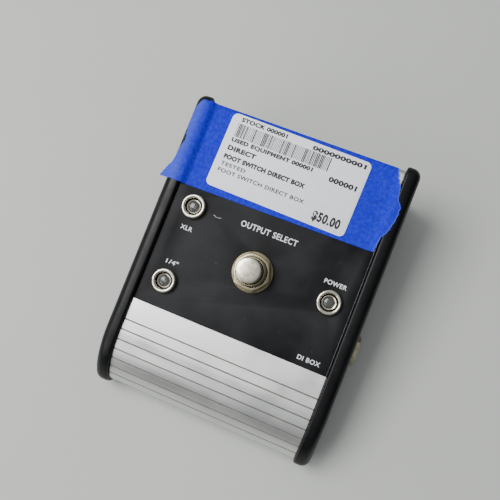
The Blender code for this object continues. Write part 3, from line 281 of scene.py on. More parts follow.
def pick(piece, kind, wanted):
    """Enters edit mode with only the wanted faces, edges or vertices selected."""
    only(piece)
    bpy.ops.object.mode_set(mode="EDIT")
    bpy.ops.mesh.select_mode(type=kind)
    bpy.ops.mesh.select_all(action="DESELECT")
    shape = bmesh.from_edit_mesh(piece.data)
    for part in {"FACE": shape.faces, "EDGE": shape.edges, "VERT": shape.verts}[kind]:
        if wanted(part):
            part.select_set(True)
    bmesh.update_edit_mesh(piece.data)


def drawn(points, filled):
    """An outline of (x, y, z) points, started from a circle of as many vertices."""
    only()
    bpy.ops.mesh.primitive_circle_add(vertices=len(points), fill_type="NGON" if filled else "NOTHING")
    piece = bpy.context.object
    for vertex, point in zip(piece.data.vertices, points):
        vertex.co = point
    return piece


def raised(outline, low, high):
    """A flat (x, y) outline raised from one height to another."""
    piece = drawn([(x, y, low) for x, y in outline], filled=True)
    pick(piece, "FACE", lambda face: True)
    bpy.ops.mesh.extrude_region_move(TRANSFORM_OT_translate={"value": (0, 0, high - low)})
    bpy.ops.mesh.select_all(action="SELECT")
    bpy.ops.mesh.normals_make_consistent(inside=False)
    only(piece)
    return piece


def spun(profile, steps=96):
    """A body turned about Z from the closed (radius, height) outline of half its section."""
    piece = drawn([(radius, 0, height) for radius, height in profile], filled=False)
    pick(piece, "EDGE", lambda edge: True)
    bpy.ops.mesh.spin(steps=steps, angle=2 * math.pi, center=(0, 0, 0), axis=(0, 0, 1))
    bpy.ops.mesh.select_all(action="SELECT")
    bpy.ops.mesh.remove_doubles(threshold=1e-6)
    bpy.ops.mesh.delete_loose(use_verts=True, use_edges=True, use_faces=False)
    bpy.ops.mesh.select_all(action="SELECT")
    bpy.ops.mesh.normals_make_consistent(inside=False)
    only(piece)
    return piece


def rod(radius, low, high, at=(0, 0), sides=48):
    """A plain cylinder along Z, for cutting and joining."""
    only()
    bpy.ops.mesh.primitive_cylinder_add(
        vertices=sides, radius=radius, depth=high - low, location=(*at, (low + high) / 2),
    )
    return bpy.context.object


def slab(low, high):
    """A plain box between two corners, for cutting and joining."""
    only()
    bpy.ops.mesh.primitive_cube_add(size=1, location=[(a + b) / 2 for a, b in zip(low, high)])
    piece = bpy.context.object
    piece.scale = [b - a for a, b in zip(low, high)]
    bpy.ops.object.transform_apply(location=False, rotation=False, scale=True)
    return piece


def placed(piece, matrix):
    """Puts a piece in a frame for good: its object ends at the origin."""
    only(piece)
    piece.matrix_world = matrix @ piece.matrix_world
    bpy.ops.object.transform_apply(location=True, rotation=True, scale=True)
    return piece


def finished(piece, kind, **settings):
    """Adds one modifier and applies it."""
    modifier = piece.modifiers.new(kind.lower(), kind)
    for name, value in settings.items():
        setattr(modifier, name, value)
    only(piece)
    bpy.ops.object.modifier_apply(modifier=modifier.name)
    return piece


def combined(piece, tool, operation):
    """Cuts a tool away from a piece, joins it on, or keeps what they share. The tool is used up."""
    finished(piece, "BOOLEAN", object=tool, operation=operation)
    bpy.data.objects.remove(tool)
    return piece


def softened(piece, width, segments=2, angle=30):
    """Rounds every edge sharper than the angle, and shades the rest smooth."""
    finished(
        piece, "BEVEL", width=width, segments=segments, limit_method="ANGLE", angle_limit=math.radians(angle),
        use_clamp_overlap=True, harden_normals=False,
    )
    return smooth(piece, angle)


def smooth(piece, angle=30):
    only(piece)
    bpy.ops.object.shade_smooth_by_angle(angle=math.radians(angle))
    return piece


def copied(piece):
    """A second piece with its own mesh."""
    twin = piece.copy()
    twin.data = piece.data.copy()
    bpy.context.scene.collection.objects.link(twin)
    return twin


def joined(pieces):
    only(*pieces)
    if len(pieces) > 1:
        bpy.ops.object.join()
    return pieces[0]


def fitted(piece, name, look, slot, *nodes, body="case"):
    """Names a piece in its place, dresses it, and hides the nodes that it stands for."""
    only(piece)
    bpy.ops.object.transform_apply(location=True, rotation=True, scale=True)
    piece.name = name
    piece.data.name = name
    piece.data.materials.clear()
    piece.data.materials.append(look)
    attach(piece, body)
    if nodes:
        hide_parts(*nodes)
    return piece


def arc(centre, radius, start, end, steps):
    """Points round part of a circle, from one angle in degrees to another."""
    points = []
    for step in range(steps + 1):
        angle = math.radians(start + (end - start) * step / steps)
        points.append((centre[0] + radius * math.cos(angle), centre[1] + radius * math.sin(angle)))
    return points


def rounded_box(width, height, corner, steps=8):
    """The outline of a rectangle with round corners, about the origin."""
    across, along = width / 2 - corner, height / 2 - corner
    outline = []
    for quarter, (x, y) in enumerate(((1, 1), (-1, 1), (-1, -1), (1, -1))):
        start = 90 * quarter
        outline += arc((x * across, y * along), corner, start, start + 90, steps)
    return outline


def threaded(radius, depth, pitch, low, high):
    """Profile points up the outside of a thread, drawn as rings."""
    points = []
    turns = int((high - low) / pitch)
    for turn in range(turns):
        floor = low + turn * pitch
        points += [(radius - depth, floor + pitch * 0.1), (radius, floor + pitch * 0.4)]
        points += [(radius, floor + pitch * 0.6), (radius - depth, floor + pitch * 0.9)]
    return points


def hexagon_nut(flats, bore, low, high):
    """A hexagon nut whose top corners are turned down to a ring, bored through."""
    corner = flats / math.sqrt(3)
    nut = rod(corner, low, high, sides=6)
    drop = (corner - flats / 2) * 0.62
    lathe = spun([
        (0, low), (corner + GAP, low), (corner + GAP, high - drop), (flats / 2 * 0.985, high), (0, high),
    ], steps=96)
    combined(nut, lathe, "INTERSECT")
    combined(nut, rod(bore, low - GAP, high + GAP, sides=64), "DIFFERENCE")
    return softened(nut, 0.07 * MM, 2, 25)


# ---------------------------------------------------------------- materials


def new_look(name, values):
    """A material with plain values on its shader's own sockets."""
    look = bpy.data.materials.new(name)
    look.use_nodes = True
    shader = look.node_tree.nodes["Principled BSDF"]
    for socket, value in values.items():
        shader.inputs[socket].default_value = value
    return look


def add(look, kind, inputs=None, **settings):
    """One node with its settings, values and links. A socket given as a value is linked."""
    made = look.node_tree.nodes.new(kind)
    for name, value in settings.items():
        setattr(made, name, value)
    for name, value in (inputs or {}).items():
        if isinstance(value, bpy.types.NodeSocket):
            look.node_tree.links.new(value, made.inputs[name])
        else:
            made.inputs[name].default_value = value
    return made


def shade(look, **links):
    """Links outputs to the shader's sockets, whose names are written with underscores."""
    shader = look.node_tree.nodes["Principled BSDF"]
    for name, output in links.items():
        look.node_tree.links.new(output, shader.inputs[name.replace("_", " ").title()])
    return look


def brushed_aluminium():
    """Aluminium sheet brushed across the box: fine streaks in a dull white metal, faintly handled."""
    tint = bpy.context.scene.direct_box_case.aluminium
    look = new_look("brushed_aluminium", {"Metallic": 1.0, "Roughness": 0.36, "Anisotropic": 0.5})
    place = add(look, "ShaderNodeTexCoord").outputs["Object"]
    grain = add(look, "ShaderNodeCombineXYZ", {"X": 1.0}).outputs[0]
    # Brush lines 0.25 mm apart and about 30 mm long, coarser than real ones so that they show.
    lines = add(look, "ShaderNodeMapping", {"Vector": place, "Scale": (33, 4000, 4000)}).outputs[0]
    streaks = add(look, "ShaderNodeTexNoise", {"Vector": lines, "Scale": 1.0, "Detail": 3.0}).outputs[0]
    # Clouds about 15 mm across from hands and shelves.
    clouds = add(look, "ShaderNodeTexNoise", {"Vector": place, "Scale": 65.0, "Detail": 4.0}).outputs[0]
    dull = tuple(value * 0.8 for value in tint[:3]) + (1,)
    amount = add(look, "ShaderNodeMapRange", {
        "Value": streaks, "From Min": 0.3, "From Max": 0.7, "To Min": 0.0, "To Max": 0.55,
    }).outputs[0]
    base = add(look, "ShaderNodeMix", {0: amount, 6: tint, 7: dull}, data_type="RGBA").outputs[2]
    rough = add(look, "ShaderNodeMapRange", {
        "Value": clouds, "From Min": 0.3, "From Max": 0.7, "To Min": 0.28, "To Max": 0.46,
    }).outputs[0]
    bump = add(look, "ShaderNodeBump", {
        "Height": streaks, "Strength": 0.12, "Distance": 0.02 * MM,
    }).outputs[0]
    return shade(look, base_color=base, roughness=rough, normal=bump, tangent=grain)


def groove_dirt_and_shade():
    """The bottoms of the nose's grooves: dull unbrushed metal with brownish dirt packed in, darkened further
    by painted shade of the recess.
    """
    look = new_look("dirty_and_shaded_aluminium", {"Metallic": 0.4, "Roughness": 0.7})
    place = add(look, "ShaderNodeTexCoord").outputs["Object"]
    dirt = add(look, "ShaderNodeTexNoise", {"Vector": place, "Scale": 260.0, "Detail": 5.0}).outputs[0]
    base = add(look, "ShaderNodeMix", {
        0: dirt, 6: linear("#5E564A"), 7: linear("#9C968B"),
    }, data_type="RGBA").outputs[2]
    return shade(look, base_color=base)


def satin_print():
    """Baked screen print on the deck: satin black with a fine grain, dust specks and a few faint rubs."""
    tint = bpy.context.scene.direct_box_case.print_black
    look = new_look("satin_black_print", {"Metallic": 0.0, "IOR": 1.45, "Specular IOR Level": 0.24})
    place = add(look, "ShaderNodeTexCoord").outputs["Object"]
    # Specks of dust about 0.15 mm across, one or two in each 3 mm square.
    cells = add(look, "ShaderNodeTexVoronoi", {"Vector": place, "Scale": 420.0, "Randomness": 1.0})
    speck = add(look, "ShaderNodeMapRange", {
        "Value": cells.outputs["Distance"], "From Min": 0.03, "From Max": 0.07, "To Min": 1.0, "To Max": 0.0,
    }).outputs[0]
    chosen = add(look, "ShaderNodeTexNoise", {"Vector": place, "Scale": 300.0, "Detail": 1.0}).outputs[0]
    rare = add(look, "ShaderNodeMapRange", {
        "Value": chosen, "From Min": 0.58, "From Max": 0.66, "To Min": 0.0, "To Max": 0.5,
    }).outputs[0]
    dust = add(look, "ShaderNodeMath", {0: speck, 1: rare}, operation="MULTIPLY").outputs[0]
    clouds = add(look, "ShaderNodeTexNoise", {"Vector": place, "Scale": 55.0, "Detail": 5.0}).outputs[0]
    pale = add(look, "ShaderNodeMapRange", {
        "Value": clouds, "From Min": 0.35, "From Max": 0.75, "To Min": 0.0, "To Max": 0.07,
    }).outputs[0]
    hazed = add(look, "ShaderNodeMix", {0: pale, 6: tint, 7: linear("#8C8E90")}, data_type="RGBA").outputs[2]
    base = add(look, "ShaderNodeMix", {0: dust, 6: hazed, 7: linear("#B9BBBE")}, data_type="RGBA").outputs[2]
    rough = add(look, "ShaderNodeMapRange", {
        "Value": clouds, "From Min": 0.3, "From Max": 0.7, "To Min": 0.55, "To Max": 0.62,
    }).outputs[0]
    # Print grain of 0.12 mm.
    grain = add(look, "ShaderNodeTexNoise", {"Vector": place, "Scale": 8300.0, "Detail": 1.0}).outputs[0]
    bump = add(look, "ShaderNodeBump", {"Height": grain, "Strength": 0.25, "Distance": 0.01 * MM}).outputs[0]
    return shade(look, base_color=base, roughness=rough, normal=bump)


def moulded_plastic(name, tint, roughness=0.34, grain=0.35 * MM):
    """ABS from a lightly textured mould: even colour, a soft sheen, dull where it has been rubbed."""
    look = new_look(name, {"Metallic": 0.0, "IOR": 1.53, "Specular IOR Level": 0.2})
    place = add(look, "ShaderNodeTexCoord").outputs["Object"]
    clouds = add(look, "ShaderNodeTexNoise", {"Vector": place, "Scale": 110.0, "Detail": 6.0}).outputs[0]
    rubbed = tuple(min(value * 1.6 + 0.003, 1) for value in tint[:3]) + (1,)
    amount = add(look, "ShaderNodeMapRange", {
        "Value": clouds, "From Min": 0.45, "From Max": 0.8, "To Min": 0.0, "To Max": 0.6,
    }).outputs[0]
    base = add(look, "ShaderNodeMix", {0: amount, 6: tint, 7: rubbed}, data_type="RGBA").outputs[2]
    rough = add(look, "ShaderNodeMapRange", {
        "Value": clouds, "From Min": 0.3, "From Max": 0.7,
        "To Min": roughness - 0.07, "To Max": roughness + 0.1,
    }).outputs[0]
    pits = add(look, "ShaderNodeTexVoronoi", {"Vector": place, "Scale": 1 / grain}).outputs["Distance"]
    bump = add(look, "ShaderNodeBump", {"Height": pits, "Strength": 0.16, "Distance": 0.03 * MM}).outputs[0]
    return shade(look, base_color=base, roughness=rough, normal=bump)


def plated_metal(name, tint, roughness, clouding):
    """Plated brass or steel: a bright metal, clouded in patches by fingers and fine scratches."""
    look = new_look(name, {"Metallic": 1.0, "Roughness": roughness})
    place = add(look, "ShaderNodeTexCoord").outputs["Object"]
    # Patches about 2 mm across over scratches 0.2 mm wide.
    patches = add(look, "ShaderNodeTexNoise", {"Vector": place, "Scale": 480.0, "Detail": 5.0}).outputs[0]
    scratches = add(look, "ShaderNodeTexNoise", {
        "Vector": place, "Scale": 5000.0, "Detail": 2.0, "Distortion": 1.5,
    }).outputs[0]
    worn = tuple(value * 0.8 for value in tint[:3]) + (1,)
    amount = add(look, "ShaderNodeMapRange", {
        "Value": patches, "From Min": 0.4, "From Max": 0.75, "To Min": 0.0, "To Max": 0.7,
    }).outputs[0]
    base = add(look, "ShaderNodeMix", {0: amount, 6: tint, 7: worn}, data_type="RGBA").outputs[2]
    rough = add(look, "ShaderNodeMapRange", {
        "Value": patches, "From Min": 0.3, "From Max": 0.75,
        "To Min": roughness, "To Max": roughness + clouding,
    }).outputs[0]
    bump = add(look, "ShaderNodeBump", {
        "Height": scratches, "Strength": 0.04, "Distance": 0.004 * MM,
    }).outputs[0]
    return shade(look, base_color=base, roughness=rough, normal=bump)


def powder_coat(name, tint):
    """Powder-coated steel: black with an orange-peel skin of 0.5 mm dimples."""
    look = new_look(name, {"Metallic": 0.0, "Roughness": 0.5, "IOR": 1.5})
    place = add(look, "ShaderNodeTexCoord").outputs["Object"]
    peel = add(look, "ShaderNodeTexNoise", {"Vector": place, "Scale": 2000.0, "Detail": 2.0}).outputs[0]
    clouds = add(look, "ShaderNodeTexNoise", {"Vector": place, "Scale": 90.0, "Detail": 4.0}).outputs[0]
    pale = tuple(value * 1.8 + 0.004 for value in tint[:3]) + (1,)
    base = add(look, "ShaderNodeMix", {0: clouds, 6: tint, 7: pale}, data_type="RGBA").outputs[2]
    bump = add(look, "ShaderNodeBump", {"Height": peel, "Strength": 0.3, "Distance": 0.03 * MM}).outputs[0]
    return shade(look, base_color=base, normal=bump)


def foot_rubber():
    """Moulded rubber: dead matt, greyed by dust in its pores."""
    look = new_look("foot_rubber", {"Metallic": 0.0, "Roughness": 0.88, "IOR": 1.52})
    place = add(look, "ShaderNodeTexCoord").outputs["Object"]
    dust = add(look, "ShaderNodeTexNoise", {"Vector": place, "Scale": 900.0, "Detail": 6.0}).outputs[0]
    base = add(look, "ShaderNodeMix", {
        0: dust, 6: linear("#161616"), 7: linear("#333231"),
    }, data_type="RGBA").outputs[2]
    bump = add(look, "ShaderNodeBump", {"Height": dust, "Strength": 0.4, "Distance": 0.05 * MM}).outputs[0]
    return shade(look, base_color=base, normal=bump)


def clear_epoxy():
    """Cast epoxy lens, water-clear and a little milky at its skin; here half of it is a diffuse grey, painted
    shade standing in for the shadowed lamp body seen through it.
    """
    # The grey base colour is painted shade for the unlit inside of the lamp.
    look = new_look("clear_epoxy", {
        "Metallic": 0.0, "IOR": 1.54, "Transmission Weight": 0.5, "Base Color": linear("#5C5F5C"),
    })
    place = add(look, "ShaderNodeTexCoord").outputs["Object"]
    haze = add(look, "ShaderNodeTexNoise", {"Vector": place, "Scale": 900.0, "Detail": 3.0}).outputs[0]
    rough = add(look, "ShaderNodeMapRange", {
        "Value": haze, "From Min": 0.3, "From Max": 0.7, "To Min": 0.08, "To Max": 0.16,
    }).outputs[0]
    return shade(look, roughness=rough)


def creped_tape():
    """Creped blue masking paper: ridges across the strip with painted shade in their valleys, light fibres,
    paler where it is torn or rubbed.
    """
    settings = bpy.context.scene.direct_box_tape
    look = new_look("creped_blue_tape", {
        "Metallic": 0.0, "Roughness": 0.7, "IOR": 1.4, "Specular IOR Level": 0.25,
    })
    place = add(look, "ShaderNodeTexCoord").outputs["Object"]
    # Crepe ridges about 0.5 mm apart and 2 mm long.
    ridges = add(look, "ShaderNodeMapping", {"Vector": place, "Scale": (2000, 550, 550)}).outputs[0]
    crepe = add(look, "ShaderNodeTexNoise", {
        "Vector": ridges, "Scale": 1.0, "Detail": 3.0, "Distortion": 0.6,
    }).outputs[0]
    flecks = add(look, "ShaderNodeTexNoise", {"Vector": place, "Scale": 750.0, "Detail": 5.0}).outputs[0]
    deep = tuple(value * 0.72 for value in settings.tape_blue[:3]) + (1,)
    light = add(look, "ShaderNodeMapRange", {
        "Value": flecks, "From Min": 0.42, "From Max": 0.68, "To Min": 0.0, "To Max": 0.12,
    }).outputs[0]
    # Painted shade: the crepe's low places, which the bump also sinks, take the deeper blue.
    crease_shade = add(look, "ShaderNodeMapRange", {
        "Value": crepe, "From Min": 0.35, "From Max": 0.6, "To Min": 0.75, "To Max": 0.0,
    }).outputs[0]
    blue = add(look, "ShaderNodeMix", {0: crease_shade, 6: settings.tape_blue, 7: deep}, data_type="RGBA").outputs[2]
    pale = settings.tape_pale
    flecked = add(look, "ShaderNodeMix", {0: light, 6: blue, 7: pale}, data_type="RGBA").outputs[2]
    rubbed = add(look, "ShaderNodeAttribute", attribute_name="rubbed").outputs["Fac"]
    base = add(look, "ShaderNodeMix", {0: rubbed, 6: flecked, 7: pale}, data_type="RGBA").outputs[2]
    bump = add(look, "ShaderNodeBump", {"Height": crepe, "Strength": 0.7, "Distance": 0.06 * MM}).outputs[0]
    return shade(look, base_color=base, normal=bump)


def label_paper():
    """Coated label stock: smooth, cool white, with a faint mottle."""
    settings = bpy.context.scene.direct_box_tape
    look = new_look("coated_label_paper", {"Metallic": 0.0, "Roughness": 0.48, "IOR": 1.45})
    place = add(look, "ShaderNodeTexCoord").outputs["Object"]
    mottle = add(look, "ShaderNodeTexNoise", {"Vector": place, "Scale": 260.0, "Detail": 6.0}).outputs[0]
    grey = tuple(value * 0.9 for value in settings.paper[:3]) + (1,)
    base = add(look, "ShaderNodeMix", {0: mottle, 6: settings.paper, 7: grey}, data_type="RGBA").outputs[2]
    fibres = add(look, "ShaderNodeTexNoise", {"Vector": place, "Scale": 4000.0, "Detail": 2.0}).outputs[0]
    bump = add(look, "ShaderNodeBump", {"Height": fibres, "Strength": 0.1, "Distance": 0.01 * MM}).outputs[0]
    return shade(look, base_color=base, normal=bump)


def printed_ink(name, tint, other):
    """A thin flat print whose cover varies a little."""
    look = new_look(name, {"Metallic": 0.0, "Roughness": 0.55, "IOR": 1.45})
    place = add(look, "ShaderNodeTexCoord").outputs["Object"]
    cover = add(look, "ShaderNodeTexNoise", {"Vector": place, "Scale": 3000.0, "Detail": 3.0}).outputs[0]
    amount = add(look, "ShaderNodeMapRange", {
        "Value": cover, "From Min": 0.5, "From Max": 0.75, "To Min": 0.0, "To Max": 0.5,
    }).outputs[0]
    base = add(look, "ShaderNodeMix", {0: amount, 6: tint, 7: other}, data_type="RGBA").outputs[2]
    return shade(look, base_color=base)


def speckled(name, tint, second, scale, values):
    """A plain stock material whose colour wanders between two tones at the given scale."""
    look = new_look(name, values)
    place = add(look, "ShaderNodeTexCoord").outputs["Object"]
    tone = add(look, "ShaderNodeTexNoise", {"Vector": place, "Scale": scale, "Detail": 4.0}).outputs[0]
    base = add(look, "ShaderNodeMix", {
        0: tone, 6: linear(tint), 7: linear(second),
    }, data_type="RGBA").outputs[2]
    bump = add(look, "ShaderNodeBump", {"Height": tone, "Strength": 0.15, "Distance": 0.03 * MM}).outputs[0]
    return shade(look, base_color=base, normal=bump)


LOOKS = {}
BARE_METAL = {"Metallic": 1.0, "Roughness": 0.35}


def look_of(maker, *values):
    """The material that a maker gives for these values, made once."""
    key = maker.__name__ + (str(values[0]) if values else "")
    if key not in LOOKS:
        LOOKS[key] = maker(*values)
    return LOOKS[key]


def nickel():
    return look_of(plated_metal, "nickel_plate", bpy.context.scene.direct_box_hardware.nickel, 0.16, 0.2)


def chrome():
    return look_of(plated_metal, "chrome_plate", bpy.context.scene.direct_box_hardware.chrome, 0.07, 0.1)


def aged_nickel():
    return look_of(plated_metal, "aged_nickel", linear("#A29A80"), 0.2, 0.2)


def black_zinc():
    return look_of(plated_metal, "black_zinc", bpy.context.scene.direct_box_hardware.zinc, 0.3, 0.2)


def black_moulding():
    return look_of(moulded_plastic, "black_moulding", bpy.context.scene.direct_box_case.moulding)


def black_steel():
    return look_of(powder_coat, "black_powder_coat", linear("#1B1B1C"))


# ---------------------------------------------------------------- the case


def on_deck(along, height=0.0):
    """World (y, z) of a point on the bare deck, by its distance behind the foot switch and its height."""
    place = DECK @ Vector((0, along, height - PANEL_PROUD))
    return place.y, place.z


def nose_frame(ahead):
    """A frame on the bare nose at a distance along it from the foot switch: X across, Z outward."""
    turn = min(max((ahead - DECK_TO_NOSE) / NOSE_RADIUS, 0.0), NOSE_TURN)
    flat = min(ahead, DECK_TO_NOSE)
    drop = NOSE_RADIUS * (1 - math.cos(turn))
    y, z = on_deck(-flat - NOSE_RADIUS * math.sin(turn), -drop)
    return Matrix.Translation((0, y, z)) @ Matrix.Rotation(DECK_SLOPE + turn, 4, "X")


def side_corners(low):
    """The skin's side profile as ((y, z), fold radius, turn), from the rear bottom to the front one."""
    rear, front = SKIN_HIGH.y, SKIN_LOW.y
    deck = on_deck(0)
    rear_top = deck[1] + (rear - deck[0]) * math.tan(DECK_SLOPE)
    nose = on_deck(-DECK_TO_NOSE - NOSE_RADIUS * math.tan(NOSE_TURN / 2))
    heading = DECK_SLOPE + NOSE_TURN
    chin = nose[1] - (nose[0] - front) * math.tan(heading)
    right_angle = math.pi / 2
    return [
        ((rear, low), FOLD_RADIUS, right_angle),
        ((rear, rear_top), FOLD_RADIUS, right_angle + DECK_SLOPE),
        (nose, NOSE_RADIUS, NOSE_TURN),
        ((front, chin), CHIN_RADIUS, right_angle - heading),
        ((front, low), FOLD_RADIUS, right_angle),
    ]


def bent(corners, offset):
    """Points (y, z) round a profile with its corners bent, moved outward by the offset."""
    path = []
    heading = 0.0
    for corner, radius, turn in corners:
        along = Vector((math.cos(heading), math.sin(heading)))
        start = Vector(corner) - along * radius * math.tan(turn / 2)
        centre = start + Vector((-along.y, along.x)) * radius
        first = math.degrees(heading) - 90
        count = round(turn * (6 + radius / MM))
        bend = arc(centre, radius + offset, first, first + math.degrees(turn), count)
        if path and math.dist(path[-1], bend[0]) < GAP / 10:
            path.pop()
        path += bend
        heading += turn
    return path


def folded_sheet(width, corners, flange, thickness):
    """A sheet folded round a profile, with its free ends turned in as flanges."""
    (rear, low), (front, _) = corners[0][0], corners[-1][0]
    outer = [(rear - flange, low), *bent(corners, 0), (front + flange, low)]
    inner = [(rear - flange, low + thickness), *bent(corners, -thickness), (front + flange, low + thickness)]
    sheet = raised(outer + inner[::-1], -width / 2, width / 2)
    # The flat outline's X and Y are the box's Y and Z.
    return placed(sheet, Matrix(((0, 0, 1, 0), (1, 0, 0, 0), (0, 1, 0, 0), (0, 0, 0, 1))))


def rear_frame(node):
    """A frame on the rear wall's outer face behind a node's middle: Z out of the box, Y down."""
    place = middle(node)
    return Matrix.Translation((place.x, SKIN_HIGH.y, place.z)) @ Matrix.Rotation(-math.pi / 2, 4, "X")


class DIRECTBOX_OT_skin(bpy.types.Operator):
    """Folds the aluminium skin, cuts its grooves and its openings"""

    bl_idname = "directbox.skin"
    bl_label = "Folded skin"

    def execute(self, context):
        settings = context.scene.direct_box_case
        width = SKIN_HIGH.x - SKIN_LOW.x
        skin = folded_sheet(width, side_corners(SKIN_LOW.z), FLANGE_LENGTH, SKIN_THICKNESS)
        reach = 2 * SKIN_THICKNESS
        depth = PANEL_THICKNESS
        recess = slab((-width, -PANEL_FRONT, -depth - GAP), (width, PANEL_REAR, reach))
        combined(skin, placed(recess, DECK), "DIFFERENCE")

        radius = settings.groove_width / 2
        frames = [nose_frame(FIRST_GROOVE + index * GROOVE_PITCH) for index in range(GROOVE_COUNT)]
        across = Matrix.Rotation(math.pi / 2, 4, "Y")
        lift = Matrix.Translation((0, 0, radius - settings.groove_depth))
        grooves = []
        for stand in frames:
            cutter = rod(radius, -width / 2 - GAP, width / 2 + GAP, sides=16)
            grooves.append(placed(cutter, stand @ lift @ across))
        combined(skin, joined(grooves), "DIFFERENCE")

        holes = [placed(rod(SWITCH_HOLE, -reach, reach), DECK)]
        for name in LAMPS:
            stand = DECK @ Matrix.Translation(lamp_place(name))
            holes.append(placed(rod(LAMP_HOLE, -reach, reach), stand))
        for node, bore in REAR_HOLES:
            holes.append(placed(rod(bore, -reach, reach), rear_frame(node)))
        slot = raised(rounded_box(7.4 * MM, 3.6 * MM, 0.4 * MM), -reach, reach)
        holes.append(placed(slot, rear_frame("ground_lift_body")))
        for node in ("xlr_screw_upper", "xlr_screw_lower"):
            holes.append(placed(rod(SCREW_HOLE, -reach, reach, sides=24), rear_frame(node)))
        combined(skin, joined(holes), "DIFFERENCE")
        smooth(skin, 25)
        fitted(skin, "folded_skin", look_of(brushed_aluminium), "brushed_aluminium", "case_skin")
        # Faces in the grooves' bottoms take the darker material: real dirt and painted shade of the recesses.
        skin.data.materials.append(look_of(groove_dirt_and_shade))
        deep, shallow = -2 * settings.groove_depth, -0.3 * settings.groove_depth
        for stand in frames:
            groove = stand.inverted()
            for face in skin.data.polygons:
                place = groove @ face.center
                if abs(place.y) < radius and deep < place.z < shallow:
                    face.material_index = 1
        return {"FINISHED"}


def lamp_place(name):
    """Where a lamp stands on the panel, in the deck frame."""
    place = DECK.inverted() @ middle(f"lamp_bezel_nut_{name}")
    return Vector((place.x, place.y, 0))


def lettering(words, height, width=None, weight=0.0):
    """Capitals of a given height as a thin flat solid, standing from the origin to the right."""
    only()
    bpy.ops.object.text_add()
    text = bpy.context.object
    text.data.body = words
    text.data.offset = weight
    text.data.space_character = 1.1
    text.data.extrude = 0.01
    text.data.resolution_u = 4
    bpy.ops.object.convert(target="MESH")
    text = bpy.context.object
    low = [min(v.co[axis] for v in text.data.vertices) for axis in range(3)]
    high = [max(v.co[axis] for v in text.data.vertices) for axis in range(3)]
    scale = height / (high[1] - low[1])
    across = width / (high[0] - low[0]) if width else scale
    thin = 0.02 * MM / (high[2] - low[2])
    resized = Matrix.Diagonal((across, scale, thin, 1)) @ Matrix.Translation([-value for value in low])
    pick(text, "VERT", lambda vertex: True)
    bpy.ops.mesh.remove_doubles(threshold=1e-5)
    return placed(text, resized)


class DIRECTBOX_OT_panel(bpy.types.Operator):
    """Lays the black panel in the deck and prints its legends"""

    bl_idname = "directbox.panel"
    bl_label = "Printed panel"

    def execute(self, context):
        settings = context.scene.direct_box_case
        half = (SKIN_HIGH.x - SKIN_LOW.x) / 2 - GAP / 2
        front, rear = -PANEL_FRONT + GAP / 4, PANEL_REAR - GAP / 4
        panel = slab((-half, front, -PANEL_THICKNESS), (half, rear, 0))
        holes = [rod(SWITCH_HOLE, -GAP * 3, GAP * 3, sides=64)]
        for name in LAMPS:
            holes.append(rod(LAMP_HOLE, -GAP * 3, GAP * 3, at=lamp_place(name).xy))
        combined(panel, joined(holes), "DIFFERENCE")
        softened(panel, 0.05 * MM, 2, 40)
        placed(panel, DECK)
        fitted(panel, "printed_panel", look_of(satin_print), "black_print", "deck_panel")

        height = settings.legend_height
        legends = (
            ("XLR", (-34.2, 6.0), height, 5.1 * MM),
            ('1/4"', (-34.4, -9.0), height, 5.3 * MM),
            ("POWER", (27.3, 6.6), height, 9.2 * MM),
            ("DI BOX", (28.2, -24.6), height, 9.2 * MM),
            (settings.title, (-11.6, 15.6), 2.5 * MM, 24.0 * MM),
        )
        prints = []
        for words, (x, y), tall, wide in legends:
            place = Matrix.Translation((x * MM, y * MM, 0.004 * MM))
            prints.append(placed(lettering(words, tall, wide, weight=0.02), DECK @ place))
        # A short scratch, left of the title, that shows pale.
        for (x, y), (end_x, end_y) in (((-23.2, 15.8), (-21.6, 15.2)), ((-21.5, 15.2), (-19.8, 15.6))):
            long = math.hypot(end_x - x, end_y - y) * MM
            lean = Matrix.Rotation(math.atan2(end_y - y, end_x - x), 4, "Z")
            mark = slab((0, -0.05 * MM, 0.004 * MM), (long, 0.05 * MM, 0.012 * MM))
            prints.append(placed(mark, DECK @ Matrix.Translation((x * MM, y * MM, 0)) @ lean))
        ink = look_of(printed_ink, "white_legend", settings.legend_white, linear("#9FA1A5"))
        fitted(joined(prints), "panel_legends", ink, "black_print")
        return {"FINISHED"}


def cheek_outline():
    """A cheek's side outline (y, z), a little proud of the skin all round."""
    corners = side_corners(CHEEK_LOW.z + CHEEK_PROUD)
    for end in (0, -1):
        place, _, turn = corners[end]
        corners[end] = (place, CHEEK_CORNER - CHEEK_PROUD, turn)
    return bent(corners, CHEEK_PROUD)


